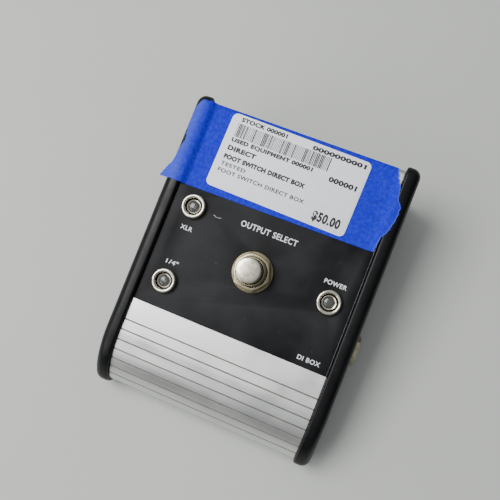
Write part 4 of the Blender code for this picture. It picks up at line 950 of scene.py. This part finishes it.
class DIRECTBOX_OT_cheeks(bpy.types.Operator):
    """Moulds the two end cheeks, with round outer edges, screw recesses and a pocket behind"""

    bl_idname = "directbox.cheeks"
    bl_label = "End cheeks"

    def execute(self, context):
        settings = context.scene.direct_box_case
        for side, name in ((-1, "left_cheek"), (1, "right_cheek")):
            outer = CHEEK_THICKNESS
            # Modelled flat: the outline in X and Y, the wall's outer face up.
            cheek = raised(cheek_outline(), 0, outer)
            top = max(cheek.data.polygons, key=lambda face: face.area * (face.normal.z > 0.9))
            level = top.center.z
            pick(cheek, "EDGE", lambda edge: all(abs(v.co.z - level) < GAP / 10 for v in edge.verts))
            bpy.ops.mesh.bevel(offset=settings.cheek_rounding, segments=10, profile=0.5, affect="EDGES")
            pick(cheek, "EDGE", lambda edge: all(abs(v.co.z) < GAP / 10 for v in edge.verts))
            bpy.ops.mesh.bevel(offset=CHEEK_INNER_ROUNDING, segments=5, profile=0.5, affect="EDGES")
            for end in ("front", "rear"):
                screw = middle(f"cheek_screw_{end}_{'left' if side < 0 else 'right'}")
                at = (screw.y, screw.z)
                shoulder = outer - SCREW_HEAD_HEIGHT - GAP
                recess = rod(SCREW_HEAD_RADIUS + GAP, shoulder, outer + GAP, at, sides=64)
                combined(cheek, recess, "DIFFERENCE")
                combined(cheek, rod(SCREW_HOLE, -GAP, outer, at, sides=32), "DIFFERENCE")
            combined(cheek, self.pocket(outer), "DIFFERENCE")
            if side > 0:
                jack = middle("input_jack_nut")
                bore = rod(JACK_HOLE, -GAP, outer + GAP, (jack.y, jack.z), sides=64)
                combined(cheek, bore, "DIFFERENCE")
                low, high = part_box("input_jack_body")
                seat = slab(
                    (low.y - GAP, low.z - GAP, -GAP), (high.y + GAP, high.z + GAP, outer - CHEEK_WALL),
                )
                combined(cheek, seat, "DIFFERENCE")
            softened(cheek, 0.12 * MM, 2, 50)
            # The flat outline's X and Y are the box's Y and Z, and its Z points out of this side.
            stand = Matrix(((0, 0, side, side * CHEEK_LOW.x), (1, 0, 0, 0), (0, 1, 0, 0), (0, 0, 0, 1)))
            placed(cheek, stand)
            pick(cheek, "FACE", lambda face: True)
            bpy.ops.mesh.normals_make_consistent(inside=False)
            fitted(cheek, f"moulded_{name}", black_moulding(), "black_moulding", name)
        return {"FINISHED"}

    def pocket(self, outer):
        """The space behind a cheek's wall, inside its rim."""
        rear = SKIN_HIGH.y - CHEEK_RIM
        front = middle("cheek_screw_front_right").y + SCREW_HEAD_RADIUS + SCREW_BOSS_WALL
        floor = CHEEK_LOW.z + CHEEK_FOOT_RIM
        roof = [on_deck(along, -CHEEK_RIM) for along in (rear, front)]
        return raised([(rear, floor), *roof, (front, floor)], -GAP, outer - CHEEK_WALL)


# ---------------------------------------------------------------- foot switch and lamps


class DIRECTBOX_OT_foot_switch(bpy.types.Operator):
    """Turns the foot switch: cap, threaded bushing, hexagon nut and washer, and fits its spring"""

    bl_idname = "directbox.foot_switch"
    bl_label = "Foot switch"

    def execute(self, context):
        settings = context.scene.direct_box_hardware
        pitch = settings.thread_pitch
        top, bore, radius, bottom = BUSHING_TOP, BUSHING_BORE, BUSHING_RADIUS, BUSHING_BOTTOM
        profile = [(STEM_BORE, bottom), (BUSHING_FLANGE, bottom), (BUSHING_FLANGE, bottom + 1.0 * MM)]
        profile += threaded(radius, 0.32 * MM, pitch, bottom + 1.05 * MM, top - 0.5 * MM)
        profile += [(radius - 0.4 * MM, top), (bore + 0.12 * MM, top), (bore, top - 0.12 * MM)]
        profile += [(bore, bottom + 2.6 * MM), (STEM_BORE, bottom + 2.6 * MM)]
        bushing = smooth(placed(spun(profile), DECK), 20)
        fitted(bushing, "switch_bushing", aged_nickel(), "nickel", "foot_switch_bushing")

        nut = hexagon_nut(NUT_FLATS, BUSHING_RADIUS + GAP / 2, NUT_BOTTOM, NUT_TOP)
        placed(nut, DECK @ Matrix.Rotation(0.35, 4, "Z"))
        fitted(nut, "switch_nut", aged_nickel(), "nickel", "foot_switch_nut")

        low, high = 0.25 * MM, 1.05 * MM
        washer = softened(spun([
            (WASHER_BORE, low), (WASHER_RADIUS, low), (WASHER_RADIUS, high), (WASHER_BORE, high),
        ]), 0.15 * MM, 3)
        plain = look_of(plated_metal, "burnished_steel", linear("#6E664F"), 0.3, 0.15)
        fitted(placed(washer, DECK), "switch_washer", plain, "nickel", "foot_switch_washer")

        radius, top, rounding, stem = CAP_RADIUS, CAP_TOP, CAP_ROUNDING, STEM_RADIUS
        crown, chamfer = settings.cap_crown, 0.3 * MM
        profile = [(0, -10.15 * MM), (stem - chamfer, -10.15 * MM), (stem, -9.85 * MM), (stem, CAP_UNDERSIDE)]
        profile += [(radius - chamfer, CAP_UNDERSIDE), (radius, CAP_UNDERSIDE + chamfer)]
        # A shallow relief groove runs round the cap below its top.
        relief = radius - RELIEF_DEPTH
        profile += [(radius, 11.9 * MM), (relief, 12.05 * MM), (relief, 12.35 * MM), (radius, 12.5 * MM)]
        profile += arc((radius - rounding, top - crown - rounding), rounding, 0, 75, 8)
        edge = profile[-1][0]
        for step in range(1, 7):
            reach = edge * (1 - step / 7)
            profile.append((reach, top - crown * (reach / edge) ** 2 * 0.8))
        profile.append((0, top))
        cap = smooth(placed(spun(profile), DECK), 25)
        fitted(cap, "switch_cap", nickel(), "nickel", "foot_switch_cap", body="foot_switch_button")

        # The spring, which shortens towards its seat by as much as the cap goes down, is copied from the
        # engineering model as it stands.
        spring = copied(frame["nodes"]["foot_switch_spring"])
        pick(spring, "VERT", lambda vertex: True)
        bpy.ops.mesh.remove_doubles(threshold=1e-6)
        wire = look_of(speckled, "spring_wire", "#9A9B9C", "#C8C8C8", 2000.0, BARE_METAL)
        fitted(spring, "switch_spring", wire, "spring_steel", "foot_switch_spring")
        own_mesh(spring)
        return {"FINISHED"}


class DIRECTBOX_OT_lamps(bpy.types.Operator):
    """Turns the three lamp bezels, their clear lenses and the reflector cup in each"""

    bl_idname = "directbox.lamps"
    bl_label = "Indicator lamps"

    def execute(self, context):
        dome = context.scene.direct_box_hardware.lens_dome
        for name in LAMPS:
            stand = DECK @ Matrix.Translation(lamp_place(name))
            profile = [(BEZEL_SHANK, BEZEL_BOTTOM)]
            profile += threaded(BEZEL_SHANK, 0.22 * MM, 0.7 * MM, BEZEL_BOTTOM + 0.05 * MM, -0.6 * MM)
            profile += [(BEZEL_SHANK, 0.12 * MM), (BEZEL_RIM - 0.1 * MM, 0.12 * MM)]
            profile += [(BEZEL_RIM, 0.24 * MM), (BEZEL_RIM, 0.6 * MM)]
            profile += arc((4.2 * MM, 1.4 * MM), 0.75 * MM, 25, 180, 14)
            profile += [(BEZEL_BORE + 0.15 * MM, -0.9 * MM), (BEZEL_BORE, -1.05 * MM)]
            profile += [(BEZEL_BORE, BEZEL_BOTTOM)]
            bezel = smooth(placed(spun(profile), stand), 30)
            fitted(bezel, f"bezel_{name}", chrome(), "chrome", f"lamp_bezel_{name}")

            rim = LENS_SHOULDER
            profile = [(0, LENS_BOTTOM), (LENS_RADIUS, LENS_BOTTOM), (LENS_RADIUS, rim - 0.15 * MM)]
            profile += [(2.75 * MM, rim), (2.4 * MM, rim), (2.25 * MM, rim - 0.1 * MM)]
            for step in range(1, 9):
                angle = math.pi / 2 * step / 9
                profile.append((2.2 * MM * math.cos(angle), rim + (dome - rim) * math.sin(angle)))
            profile.append((0, dome))
            lens = smooth(placed(spun(profile, 64), stand), 30)
            clear = look_of(clear_epoxy)
            fitted(lens, f"lens_{name}", clear, "clear_lamp", f"lamp_{name}")

            cup = spun([
                (0, -4.6 * MM), (0.5 * MM, -4.6 * MM), (0.55 * MM, -2.2 * MM), (1.35 * MM, -1.0 * MM),
                (1.25 * MM, -0.95 * MM), (0.5 * MM, -1.75 * MM), (0, -1.75 * MM),
            ], 48)
            post = raised(rounded_box(0.6 * MM, 0.5 * MM, 0.1 * MM, 3), -4.6 * MM, -1.3 * MM)
            post = placed(post, Matrix.Translation((1.9 * MM, 0, 0)))
            # A bright nickel ring lies on the lens's shoulder: a painted reflection, standing in for the
            # shine of the clear lens flange.
            painted_flange_shine = spun([
                (2.3 * MM, rim + 0.02 * MM), (2.85 * MM, rim + 0.02 * MM), (2.85 * MM, rim + 0.3 * MM),
                (2.7 * MM, rim + 0.36 * MM), (2.36 * MM, rim + 0.2 * MM),
            ], 64)
            reflector = placed(joined([smooth(cup), post, smooth(painted_flange_shine)]), stand)
            fitted(reflector, f"reflector_{name}", nickel(), "nickel")
        return {"FINISHED"}


# ---------------------------------------------------------------- sockets, screws and feet


def facing(node, axis):
    """A frame at the outer end of a node's box, with Z along the axis out of the case."""
    low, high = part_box(node)
    axis = Vector(axis)
    reach = Vector([abs(value) for value in axis]).dot(high - low) / 2
    turn = axis.to_track_quat("Z", "Y").to_matrix().to_4x4()
    return Matrix.Translation((low + high) / 2 + axis * reach) @ turn


class DIRECTBOX_OT_sockets(bpy.types.Operator):
    """Makes the XLR socket, the two jacks' nuts and bushings, and the rear jack's washer"""

    bl_idname = "directbox.sockets"
    bl_label = "Sockets"

    def execute(self, context):
        wall = rear_frame("xlr_shell")
        low, high = 0.3 * MM, 1.8 * MM
        barrel = spun([
            (XLR_MOUTH, XLR_BARREL_END), (XLR_BARREL, XLR_BARREL_END), (XLR_BARREL, 1.0 * MM),
            (XLR_MOUTH + 0.4 * MM, 1.0 * MM), (XLR_MOUTH, 0.6 * MM),
        ])
        flange = raised(rounded_box(26 * MM, 31 * MM, 2.5 * MM), low, high)
        softened(flange, 0.35 * MM, 3, 40)
        for side in (-1, 1):
            at = (side * 9.5 * MM, side * 12 * MM)
            combined(flange, rod(SCREW_HOLE, 0, 2 * high, at, sides=32), "DIFFERENCE")
            seat = rod(SCREW_HEAD_RADIUS + GAP, high - FLANGE_SEAT, 2 * high, at, sides=48)
            combined(flange, seat, "DIFFERENCE")
        mouth = spun([
            (0, -GAP), (XLR_MOUTH, -GAP), (XLR_MOUTH, 1.2 * MM),
            (XLR_MOUTH + 0.8 * MM, 2 * high), (0, 2 * high),
        ])
        combined(flange, mouth, "DIFFERENCE")
        combined(flange, barrel, "UNION")
        smooth(flange, 35)
        fitted(placed(flange, wall), "xlr_housing", black_steel(), "black_steel", "xlr_shell")

        insert = spun([
            (0, XLR_INSERT_BACK), (XLR_INSERT_RADIUS, XLR_INSERT_BACK),
            (XLR_INSERT_RADIUS, XLR_INSERT_FACE), (0, XLR_INSERT_FACE),
        ])
        softened(insert, 0.3 * MM, 3)
        keyway = slab((-1.1 * MM, 5.9 * MM, -14.4 * MM), (1.1 * MM, 9 * MM, -12 * MM))
        combined(insert, keyway, "DIFFERENCE")
        smooth(insert, 35)
        fitted(placed(insert, wall), "xlr_insulator", black_moulding(), "black_moulding", "xlr_insert")
        pins = []
        root = XLR_INSERT_FACE - GAP
        for x, y in arc((0, 0), XLR_PIN_CIRCLE, 90, 330, 2):
            pin = spun([
                (0, root), (XLR_PIN_RADIUS, root), (XLR_PIN_RADIUS, -1.6 * MM),
                *arc((0.4 * MM, -1.4 * MM), 0.8 * MM, 0, 80, 6), (0, -0.6 * MM),
            ], 32)
            pins.append(placed(pin, Matrix.Translation((x, y, 0))))
        fitted(placed(smooth(joined(pins)), wall), "xlr_pins", nickel(), "nickel")

        for jack, axis in (("output", (0, 1, 0)), ("input", (1, 0, 0))):
            stand = facing(f"{jack}_jack_nut", axis)
            # The side jack's nut stands with a corner up.
            turn = Matrix.Rotation(math.pi / 2 if jack == "input" else 0, 4, "Z")
            nut = placed(hexagon_nut(JACK_NUT_FLATS, JACK_HOLE, -JACK_NUT_HEIGHT, 0), stand @ turn)
            fitted(nut, f"{jack}_nut", aged_nickel(), "nickel", f"{jack}_jack_nut")
            low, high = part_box(f"{jack}_jack_bushing")
            depth = Vector(axis).dot(high - low)
            mouth = JACK_BORE + 0.4 * MM
            profile = [(JACK_BORE, -depth)]
            profile += threaded(JACK_THREAD, 0.28 * MM, 0.75 * MM, -depth, -0.3 * MM)
            profile += [(JACK_THREAD - 0.3 * MM, 0), (mouth, 0)]
            profile += arc((mouth, -0.4 * MM), 0.4 * MM, 90, 180, 5)
            bushing = smooth(placed(spun(profile, 64), facing(f"{jack}_jack_bushing", axis)), 25)
            fitted(bushing, f"{jack}_bushing", nickel(), "nickel", f"{jack}_jack_bushing")
        rim, back = JACK_WASHER_RADIUS, -JACK_WASHER_THICKNESS
        ring = spun([(JACK_HOLE, back), (rim, back), (rim, 0), (JACK_HOLE, 0)])
        softened(ring, 0.12 * MM, 2)
        washer = placed(ring, facing("output_jack_washer", (0, 1, 0)))
        fitted(washer, "jack_washer", nickel(), "nickel", "output_jack_washer")
        return {"FINISHED"}


def pan_head_screw(length):
    """A pan-head screw with a cross recess. The top of its head is at zero and it points down."""
    head, radius = SCREW_HEAD_HEIGHT, SCREW_HEAD_RADIUS
    shank = 1.35 * MM
    profile = [(0, -length), (shank - 0.25 * MM, -length), (shank, -length + 0.5 * MM)]
    profile += [(shank, -head), (radius, -head)]
    profile += [(radius, -head * 0.62), *arc((radius - 0.75 * MM, -0.85 * MM), 0.75 * MM, 15, 82, 6), (0, 0)]
    screw = spun(profile, 48)
    for angle in (0, math.pi / 2):
        blade = slab((-1.35 * MM, -0.28 * MM, -0.95 * MM), (1.35 * MM, 0.28 * MM, GAP))
        combined(screw, placed(blade, Matrix.Rotation(angle, 4, "Z")), "DIFFERENCE")
    return smooth(screw, 35)


class DIRECTBOX_OT_screws(bpy.types.Operator):
    """Makes every screw: in the cheeks, up through the bottom plate, in the XLR flange and in the board"""

    bl_idname = "directbox.screws"
    bl_label = "Screws"

    def execute(self, context):
        screws = {"bottom_screw": (0, 0, -1), "xlr_screw": (0, 1, 0), "board_screw": (0, 0, 1)}
        for node in sorted(name for name in frame["nodes"] if "screw" in name):
            if node.startswith("cheek"):
                axis = (-1 if node.endswith("left") else 1, 0, 0)
            else:
                axis = screws[node.rsplit("_", 1)[0]]
            low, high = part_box(node)
            length = Vector([abs(value) for value in axis]).dot(high - low)
            place = facing(node, axis) @ Matrix.Rotation(0.4 + 1.3 * low.x / MM, 4, "Z")
            if node.startswith("xlr"):
                place = place @ Matrix.Translation((0, 0, -FLANGE_SEAT - GAP))
            fitted(placed(pan_head_screw(length), place), f"made_{node}", black_zinc(), "zinc_screw", node)
        return {"FINISHED"}


class DIRECTBOX_OT_feet(bpy.types.Operator):
    """Moulds the four rubber feet"""

    bl_idname = "directbox.feet"
    bl_label = "Rubber feet"

    def execute(self, context):
        for node in ("foot_front_left", "foot_front_right", "foot_rear_left", "foot_rear_right"):
            low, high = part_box(node)
            tall = high.z - low.z
            foot = spun([
                (0, 0.5 * MM), (1.4 * MM, 0.5 * MM), (1.7 * MM, 0), (4.1 * MM, 0), (4.45 * MM, 0.25 * MM),
                (5.0 * MM, tall - 0.5 * MM), (5.0 * MM, tall), (0, tall),
            ], 64)
            place = middle(node)
            placed(smooth(foot, 40), Matrix.Translation((place.x, place.y, low.z)))
            fitted(foot, f"rubber_{node}", look_of(foot_rubber), "rubber", node)
        return {"FINISHED"}


class DIRECTBOX_OT_ground_lift(bpy.types.Operator):
    """Makes the ground-lift slider with its finger ridges"""

    bl_idname = "directbox.ground_lift"
    bl_label = "Ground-lift slider"

    def execute(self, context):
        node = "ground_lift_slider"
        low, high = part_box(node)
        shoulder = SKIN_HIGH.y - SKIN_THICKNESS - GAP
        x, z = middle(node).x, middle(node).z
        wide, tall = 1.5 * MM, 1.4 * MM
        nub = slab((x - wide, low.y, z - tall), (x + wide, high.y, z + tall))
        notch_half, notch_depth = 0.2 * MM, 0.4 * MM
        for step in (-1, 0, 1):
            at = x + step * 0.9 * MM
            notch = slab(
                (at - notch_half, high.y - notch_depth, z - 2 * tall),
                (at + notch_half, high.y + GAP, z + 2 * tall),
            )
            combined(nub, notch, "DIFFERENCE")
        softened(nub, 0.12 * MM, 2, 50)
        tail = slab((low.x, low.y, low.z), (high.x, shoulder, high.z))
        combined(nub, tail, "UNION")
        white = look_of(moulded_plastic, "white_moulding", linear("#D9D8D2"))
        fitted(nub, "ground_lift_nub", white, "white_nub", node, body="ground_lift_knob")
        return {"FINISHED"}


class DIRECTBOX_OT_inside(bpy.types.Operator):
    """Gives the kept pieces, mostly inside the case, the materials they are made of"""

    bl_idname = "directbox.inside"
    bl_label = "Inner pieces"

    def execute(self, context):
        plain = {"Metallic": 0.0, "Roughness": 0.45, "IOR": 1.5}
        looks = {
            black_steel(): ("bottom_plate", "ground_lift_body"),
            black_moulding(): ("power_inlet_body", "filter_capacitor"),
            nickel(): (
                "power_inlet_pin", "foot_switch_back_nut", "lamp_bezel_nut_xlr", "lamp_bezel_nut_jack",
                "lamp_bezel_nut_power",
            ),
            speckled("solder_resist", "#0B4424", "#17693A", 700.0, plain): ("circuit_board",),
            speckled("laminated_steel", "#5B5D60", "#8A8C8F", 2500.0, BARE_METAL): ("transformer_core",),
            speckled("enamelled_copper", "#8A4A22", "#B8713C", 3000.0, BARE_METAL): ("transformer_winding",),
            speckled("epoxy_package", "#131314", "#29292B", 2500.0, plain): (
                "amplifier_chip", "voltage_regulator", "output_jack_body", "input_jack_body",
            ),
            speckled("blue_phenolic", "#123B86", "#1D51A8", 900.0, plain): ("foot_switch_body",),
            speckled("grey_vinyl", "#77797D", "#94969A", 1200.0, plain): ("switch_ribbon",),
            speckled("gold_plate", "#B8862F", "#D9B264", 1500.0, BARE_METAL): ("foot_switch_terminals",),
        }
        for look, names in looks.items():
            for name in names:
                mesh = frame["nodes"][name].data
                mesh.materials.clear()
                mesh.materials.append(look)
        return {"FINISHED"}


# ---------------------------------------------------------------- tape and label


# Torn ends of the tape as (along, across) in millimetres on the deck.
LEFT_TEAR = (
    (23.3, -50.9), (25.8, -50.0), (28.0, -48.8), (30.2, -47.5), (36.5, -46.6), (39.8, -45.4),
    (43.0, -46.0), (48.0, -46.9), (55.0, -46.3), (57.8, -44.9), (59.0, -43.2),
)
RIGHT_TEAR = (
    (24.3, 40.8), (30.0, 41.5), (32.0, 42.9), (38.0, 44.3), (43.5, 44.5), (46.0, 42.5),
    (51.0, 41.6), (55.0, 39.8), (59.0, 38.4),
)
CHEEK_TOP = CHEEK_PROUD - PANEL_PROUD


def between(points, value):
    """Reads a chosen line of (along, across) points at one distance along."""
    for (start, first), (end, last) in zip(points, points[1:]):
        if value <= end:
            share = min(max((value - start) / (end - start), 0.0), 1.0)
            return first + (last - first) * share
    return points[-1][1]


def ease(value):
    value = min(max(value, 0.0), 1.0)
    return value * value * (3 - 2 * value)


def taped_height(across, along):
    """Height above the panel of what the tape lies on, in the deck frame and in metres."""
    inner, outer = CHEEK_LOW.x, CHEEK_HIGH.x
    rounding = bpy.context.scene.direct_box_case.cheek_rounding
    reach = abs(across)
    lean = 3.2 * MM
    height = CHEEK_TOP * ease((reach - inner + lean) / lean)
    past = reach - (outer - rounding)
    free = rounding * 0.7
    if 0 < past <= free:
        height -= rounding - math.sqrt(rounding ** 2 - past ** 2)
    elif past > free:
        height -= rounding - math.sqrt(rounding ** 2 - free ** 2) + (past - free) * 0.5
    behind = along - (DECK_TO_REAR - FOLD_RADIUS * math.tan((math.pi / 2 + DECK_SLOPE) / 2))
    if behind > 0:
        behind = min(behind, FOLD_RADIUS * 0.97)
        height -= FOLD_RADIUS - math.sqrt(FOLD_RADIUS ** 2 - behind ** 2)
    return height


class DIRECTBOX_OT_tape(bpy.types.Operator):
    """Lays the torn strip of creped tape over the deck and the cheek"""

    bl_idname = "directbox.tape"
    bl_label = "Masking tape"

    def execute(self, context):
        settings = context.scene.direct_box_tape
        only()
        columns, rows = 300, 120
        bpy.ops.mesh.primitive_grid_add(x_subdivisions=columns, y_subdivisions=rows, size=1)
        tape = bpy.context.object
        torn = {}
        rough = random.Random(7)
        ragged = {row: (rough.uniform(-1, 1), rough.uniform(-1, 1)) for row in range(rows + 1)}
        for vertex in tape.data.vertices:
            share_x, share_y = vertex.co.x + 0.5, vertex.co.y + 0.5
            row = round(share_y * rows)
            along = TAPE_FRONT + share_y * TAPE_WIDTH
            left = between(LEFT_TEAR, along) + self.tear(along, 3.0) + ragged[row][0] * 0.10
            right = between(RIGHT_TEAR, along) + self.tear(along, 8.0) + ragged[row][1] * 0.10
            across = left + (right - left) * share_x
            slant = (1.0 - share_y) * (across - left) / (right - left)
            x, y = across * MM, (along + slant * 1.0) * MM
            wrinkle = noise.noise(Vector((x * 160, y * 60, 0.3))) * 0.05 * MM
            wrinkle += noise.noise(Vector((x * 700, y * 180, 2.0))) * 0.02 * MM
            lift = ease((abs(across) - 36) / 8) * 0.10 * MM
            edge = min(across - left, right - across)
            torn[vertex.index] = edge
            vertex.co = (x, y, taped_height(x, y) + TAPE_CLEARANCE + lift + wrinkle)
        rubbed = tape.data.attributes.new("rubbed", "FLOAT", "POINT")
        for index, edge in torn.items():
            place = tape.data.vertices[index].co
            over_cheek = ease((-place.x / MM - 41.5) / 3.0) * 0.22
            rubbed.data[index].value = max(over_cheek, 0.5 * (1 - ease(edge / 0.5)))
        finished(tape, "SOLIDIFY", thickness=settings.tape_thickness, offset=1)
        smooth(placed(tape, DECK), 60)
        fitted(tape, "creped_tape", look_of(creped_tape), "blue_tape", "masking_tape")
        return {"FINISHED"}

    def tear(self, along, seed):
        """How far the torn edge strays at one place along it, in millimetres."""
        slow = noise.noise(Vector((along * 0.9, seed, 0))) * 0.5
        return slow + noise.noise(Vector((along * 3.1, seed, 1))) * 0.25


class DIRECTBOX_OT_label(bpy.types.Operator):
    """Sticks the price label on the tape and prints it"""

    bl_idname = "directbox.label"
    bl_label = "Price label"

    def execute(self, context):
        settings = context.scene.direct_box_tape
        width, height = settings.label_width, settings.label_height
        thickness = LABEL_THICKNESS
        level = TAPE_CLEARANCE + settings.tape_thickness + 0.08 * MM
        stand = DECK @ Matrix.Translation((*LABEL_CENTRE, level)) @ Matrix.Rotation(LABEL_TURN, 4, "Z")
        label = raised(rounded_box(width, height, settings.label_corner), 0, thickness)
        softened(label, 0.03 * MM, 2, 50)
        fitted(placed(label, stand), "paper_label", look_of(label_paper), "paper_label", "price_label")

        # Words, distance from the left and from the top to the baseline, height, width, weight.
        lines = (
            ("STOCK 000001", 4.0, 2.75, 1.85, 20.0, 0.06),
            ("USED EQUIPMENT 000001", 3.2, 11.9, 2.1, 35.2, 0.065),
            ("DIRECT", 3.0, 15.3, 2.1, 12.3, 0.065),
            ("FOOT SWITCH DIRECT BOX", 2.9, 19.1, 2.1, 35.2, 0.075),
            ("TESTED", 2.8, 21.9, 1.6, 10.8, 0.03),
            ("FOOT SWITCH DIRECT BOX", 2.7, 24.8, 1.7, 37.4, 0.03),
            ("0000000001", 35.0, 3.2, 1.9, 22.6, 0.06),
            ("000001", 45.6, 12.8, 2.2, 11.7, 0.06),
            ("$50.00", 45.0, 29.8, 4.6, 11.6, 0.05),
        )
        prints = []
        for words, right, down, tall, wide, weight in lines:
            place = Matrix.Translation((
                right * MM - width / 2, height / 2 - down * MM, thickness - PRINT_SUNK,
            ))
            prints.append(placed(lettering(words, tall * MM, wide * MM, weight), stand @ place))
        prints += self.bars(settings.bars, width, height, stand)
        ink = look_of(printed_ink, "thermal_ink", settings.ink, linear("#45454B"))
        fitted(joined(prints), "label_print", ink, "paper_label")
        return {"FINISHED"}

    def bars(self, count, width, height, stand):
        """Bars of chance widths, which encode nothing."""
        chance = random.Random(21)
        low, high = LABEL_THICKNESS - PRINT_SUNK, LABEL_THICKNESS + PRINT_PROUD
        left, right = 3.4 * MM, 44.0 * MM
        top, bottom = 3.6 * MM, 9.3 * MM
        pitch = (right - left) / count
        made = []
        for index in range(count):
            wide = pitch * chance.choice((0.35, 0.35, 0.5, 0.75))
            x = left + index * pitch - width / 2
            bar = slab((x, height / 2 - bottom, low), (x + wide, height / 2 - top, high))
            made.append(placed(bar, stand))
        return made


# ---------------------------------------------------------------- stage


CAMERA_PLACE = (30.64 * MM, -41.66 * MM, 263.04 * MM)
CAMERA_AIM = (-4.31 * MM, 7.37 * MM, 32.81 * MM)
KEY_PLACE = (-0.46, 0.00, 0.80)
FILL_PLACE = (-0.52, -0.62, 0.52)
LIGHT_SIZE = 0.5
BRIGHT_SIDE = (-0.55, 0.05, 0.83)


class DIRECTBOX_OT_stage(bpy.types.Operator):
    """Lays the floor and sets the lights and the camera"""

    bl_idname = "directbox.stage"
    bl_label = "Stage"

    def execute(self, context):
        settings = context.scene.direct_box_stage
        only()
        bpy.ops.mesh.primitive_plane_add(size=3.0)
        floor = context.object
        floor.name = "floor"
        floor.data.materials.append(self.floor_paint(settings))

        self.room(settings)
        self.light("key", KEY_PLACE, settings.key_power)
        self.light("fill", FILL_PLACE, settings.fill_power)

        camera = bpy.data.objects.new("camera", bpy.data.cameras.new("camera"))
        context.scene.collection.objects.link(camera)
        place = Vector(CAMERA_PLACE)
        view = (Vector(CAMERA_AIM) - place).to_track_quat("-Z", "Y").to_matrix().to_4x4()
        camera.matrix_world = Matrix.Translation(place) @ view @ Matrix.Rotation(settings.roll, 4, "Z")
        camera.data.lens = settings.lens
        camera.data.clip_start = 0.01
        context.scene.camera = camera
        return {"FINISHED"}

    def room(self, settings):
        """Even light that is brighter overhead and on the left, and dim towards the floor on the right."""
        world = bpy.data.worlds.new("room")
        bpy.context.scene.world = world
        world.use_nodes = True
        towards = add(world, "ShaderNodeTexCoord").outputs["Generated"]
        product = add(world, "ShaderNodeVectorMath", {0: towards, 1: BRIGHT_SIDE}, operation="DOT_PRODUCT")
        amount = add(world, "ShaderNodeMapRange", {
            "Value": product.outputs["Value"], "From Min": -0.2, "From Max": 0.9,
        }).outputs[0]
        tone = add(world, "ShaderNodeMix", {
            0: amount, 6: linear("#55585C"), 7: linear("#F4F7FA"),
        }, data_type="RGBA").outputs[2]
        background = world.node_tree.nodes["Background"]
        background.inputs["Strength"].default_value = settings.sky
        world.node_tree.links.new(tone, background.inputs["Color"])

    def floor_paint(self, settings):
        look = new_look("painted_floor", {"Roughness": 0.7, "IOR": 1.45})
        place = add(look, "ShaderNodeTexCoord").outputs["Object"]
        clouds = add(look, "ShaderNodeTexNoise", {"Vector": place, "Scale": 12.0, "Detail": 5.0}).outputs[0]
        darker = tuple(value * 0.93 for value in settings.floor[:3]) + (1,)
        base = add(look, "ShaderNodeMix", {
            0: clouds, 6: settings.floor, 7: darker,
        }, data_type="RGBA").outputs[2]
        return shade(look, base_color=base)

    def light(self, name, place, power):
        """A square area light that looks at the box."""
        lamp = bpy.data.lights.new(name, "AREA")
        lamp.size = LIGHT_SIZE
        lamp.energy = power
        holder = bpy.data.objects.new(name, lamp)
        bpy.context.scene.collection.objects.link(holder)
        holder.location = place
        holder.rotation_euler = (-Vector(place)).to_track_quat("-Z", "Y").to_euler()


# ---------------------------------------------------------------- panel and registration


class DIRECTBOX_PT_build(bpy.types.Panel):
    """Lists the pieces and the sizes and colours that they are made from"""

    bl_label = "Direct Box"
    bl_idname = "DIRECTBOX_PT_build"
    bl_space_type = "VIEW_3D"
    bl_region_type = "UI"
    bl_category = "Direct Box"

    def draw(self, context):
        for group, attribute in SETTINGS:
            box = self.layout.box()
            values = getattr(context.scene, attribute)
            for name in group.__annotations__:
                box.prop(values, name)
        for operator in OPERATORS:
            self.layout.operator(operator.bl_idname)


SETTINGS = (
    (DirectBoxCase, "direct_box_case"),
    (DirectBoxHardware, "direct_box_hardware"),
    (DirectBoxTape, "direct_box_tape"),
    (DirectBoxStage, "direct_box_stage"),
)
OPERATORS = (
    DIRECTBOX_OT_stage,
    DIRECTBOX_OT_skin,
    DIRECTBOX_OT_panel,
    DIRECTBOX_OT_cheeks,
    DIRECTBOX_OT_foot_switch,
    DIRECTBOX_OT_lamps,
    DIRECTBOX_OT_sockets,
    DIRECTBOX_OT_screws,
    DIRECTBOX_OT_feet,
    DIRECTBOX_OT_ground_lift,
    DIRECTBOX_OT_inside,
    DIRECTBOX_OT_tape,
    DIRECTBOX_OT_label,
)


def register():
    for group, attribute in SETTINGS:
        bpy.utils.register_class(group)
        setattr(bpy.types.Scene, attribute, PointerProperty(type=group))
    for operator in OPERATORS:
        bpy.utils.register_class(operator)
    bpy.utils.register_class(DIRECTBOX_PT_build)


def unregister():
    bpy.utils.unregister_class(DIRECTBOX_PT_build)
    for operator in reversed(OPERATORS):
        bpy.utils.unregister_class(operator)
    for group, attribute in reversed(SETTINGS):
        delattr(bpy.types.Scene, attribute)
        bpy.utils.unregister_class(group)


def main():
    register()
    for operator in OPERATORS:
        family, name = operator.bl_idname.split(".")
        getattr(getattr(bpy.ops, family), name)()


if __name__ == "__main__":
    main()
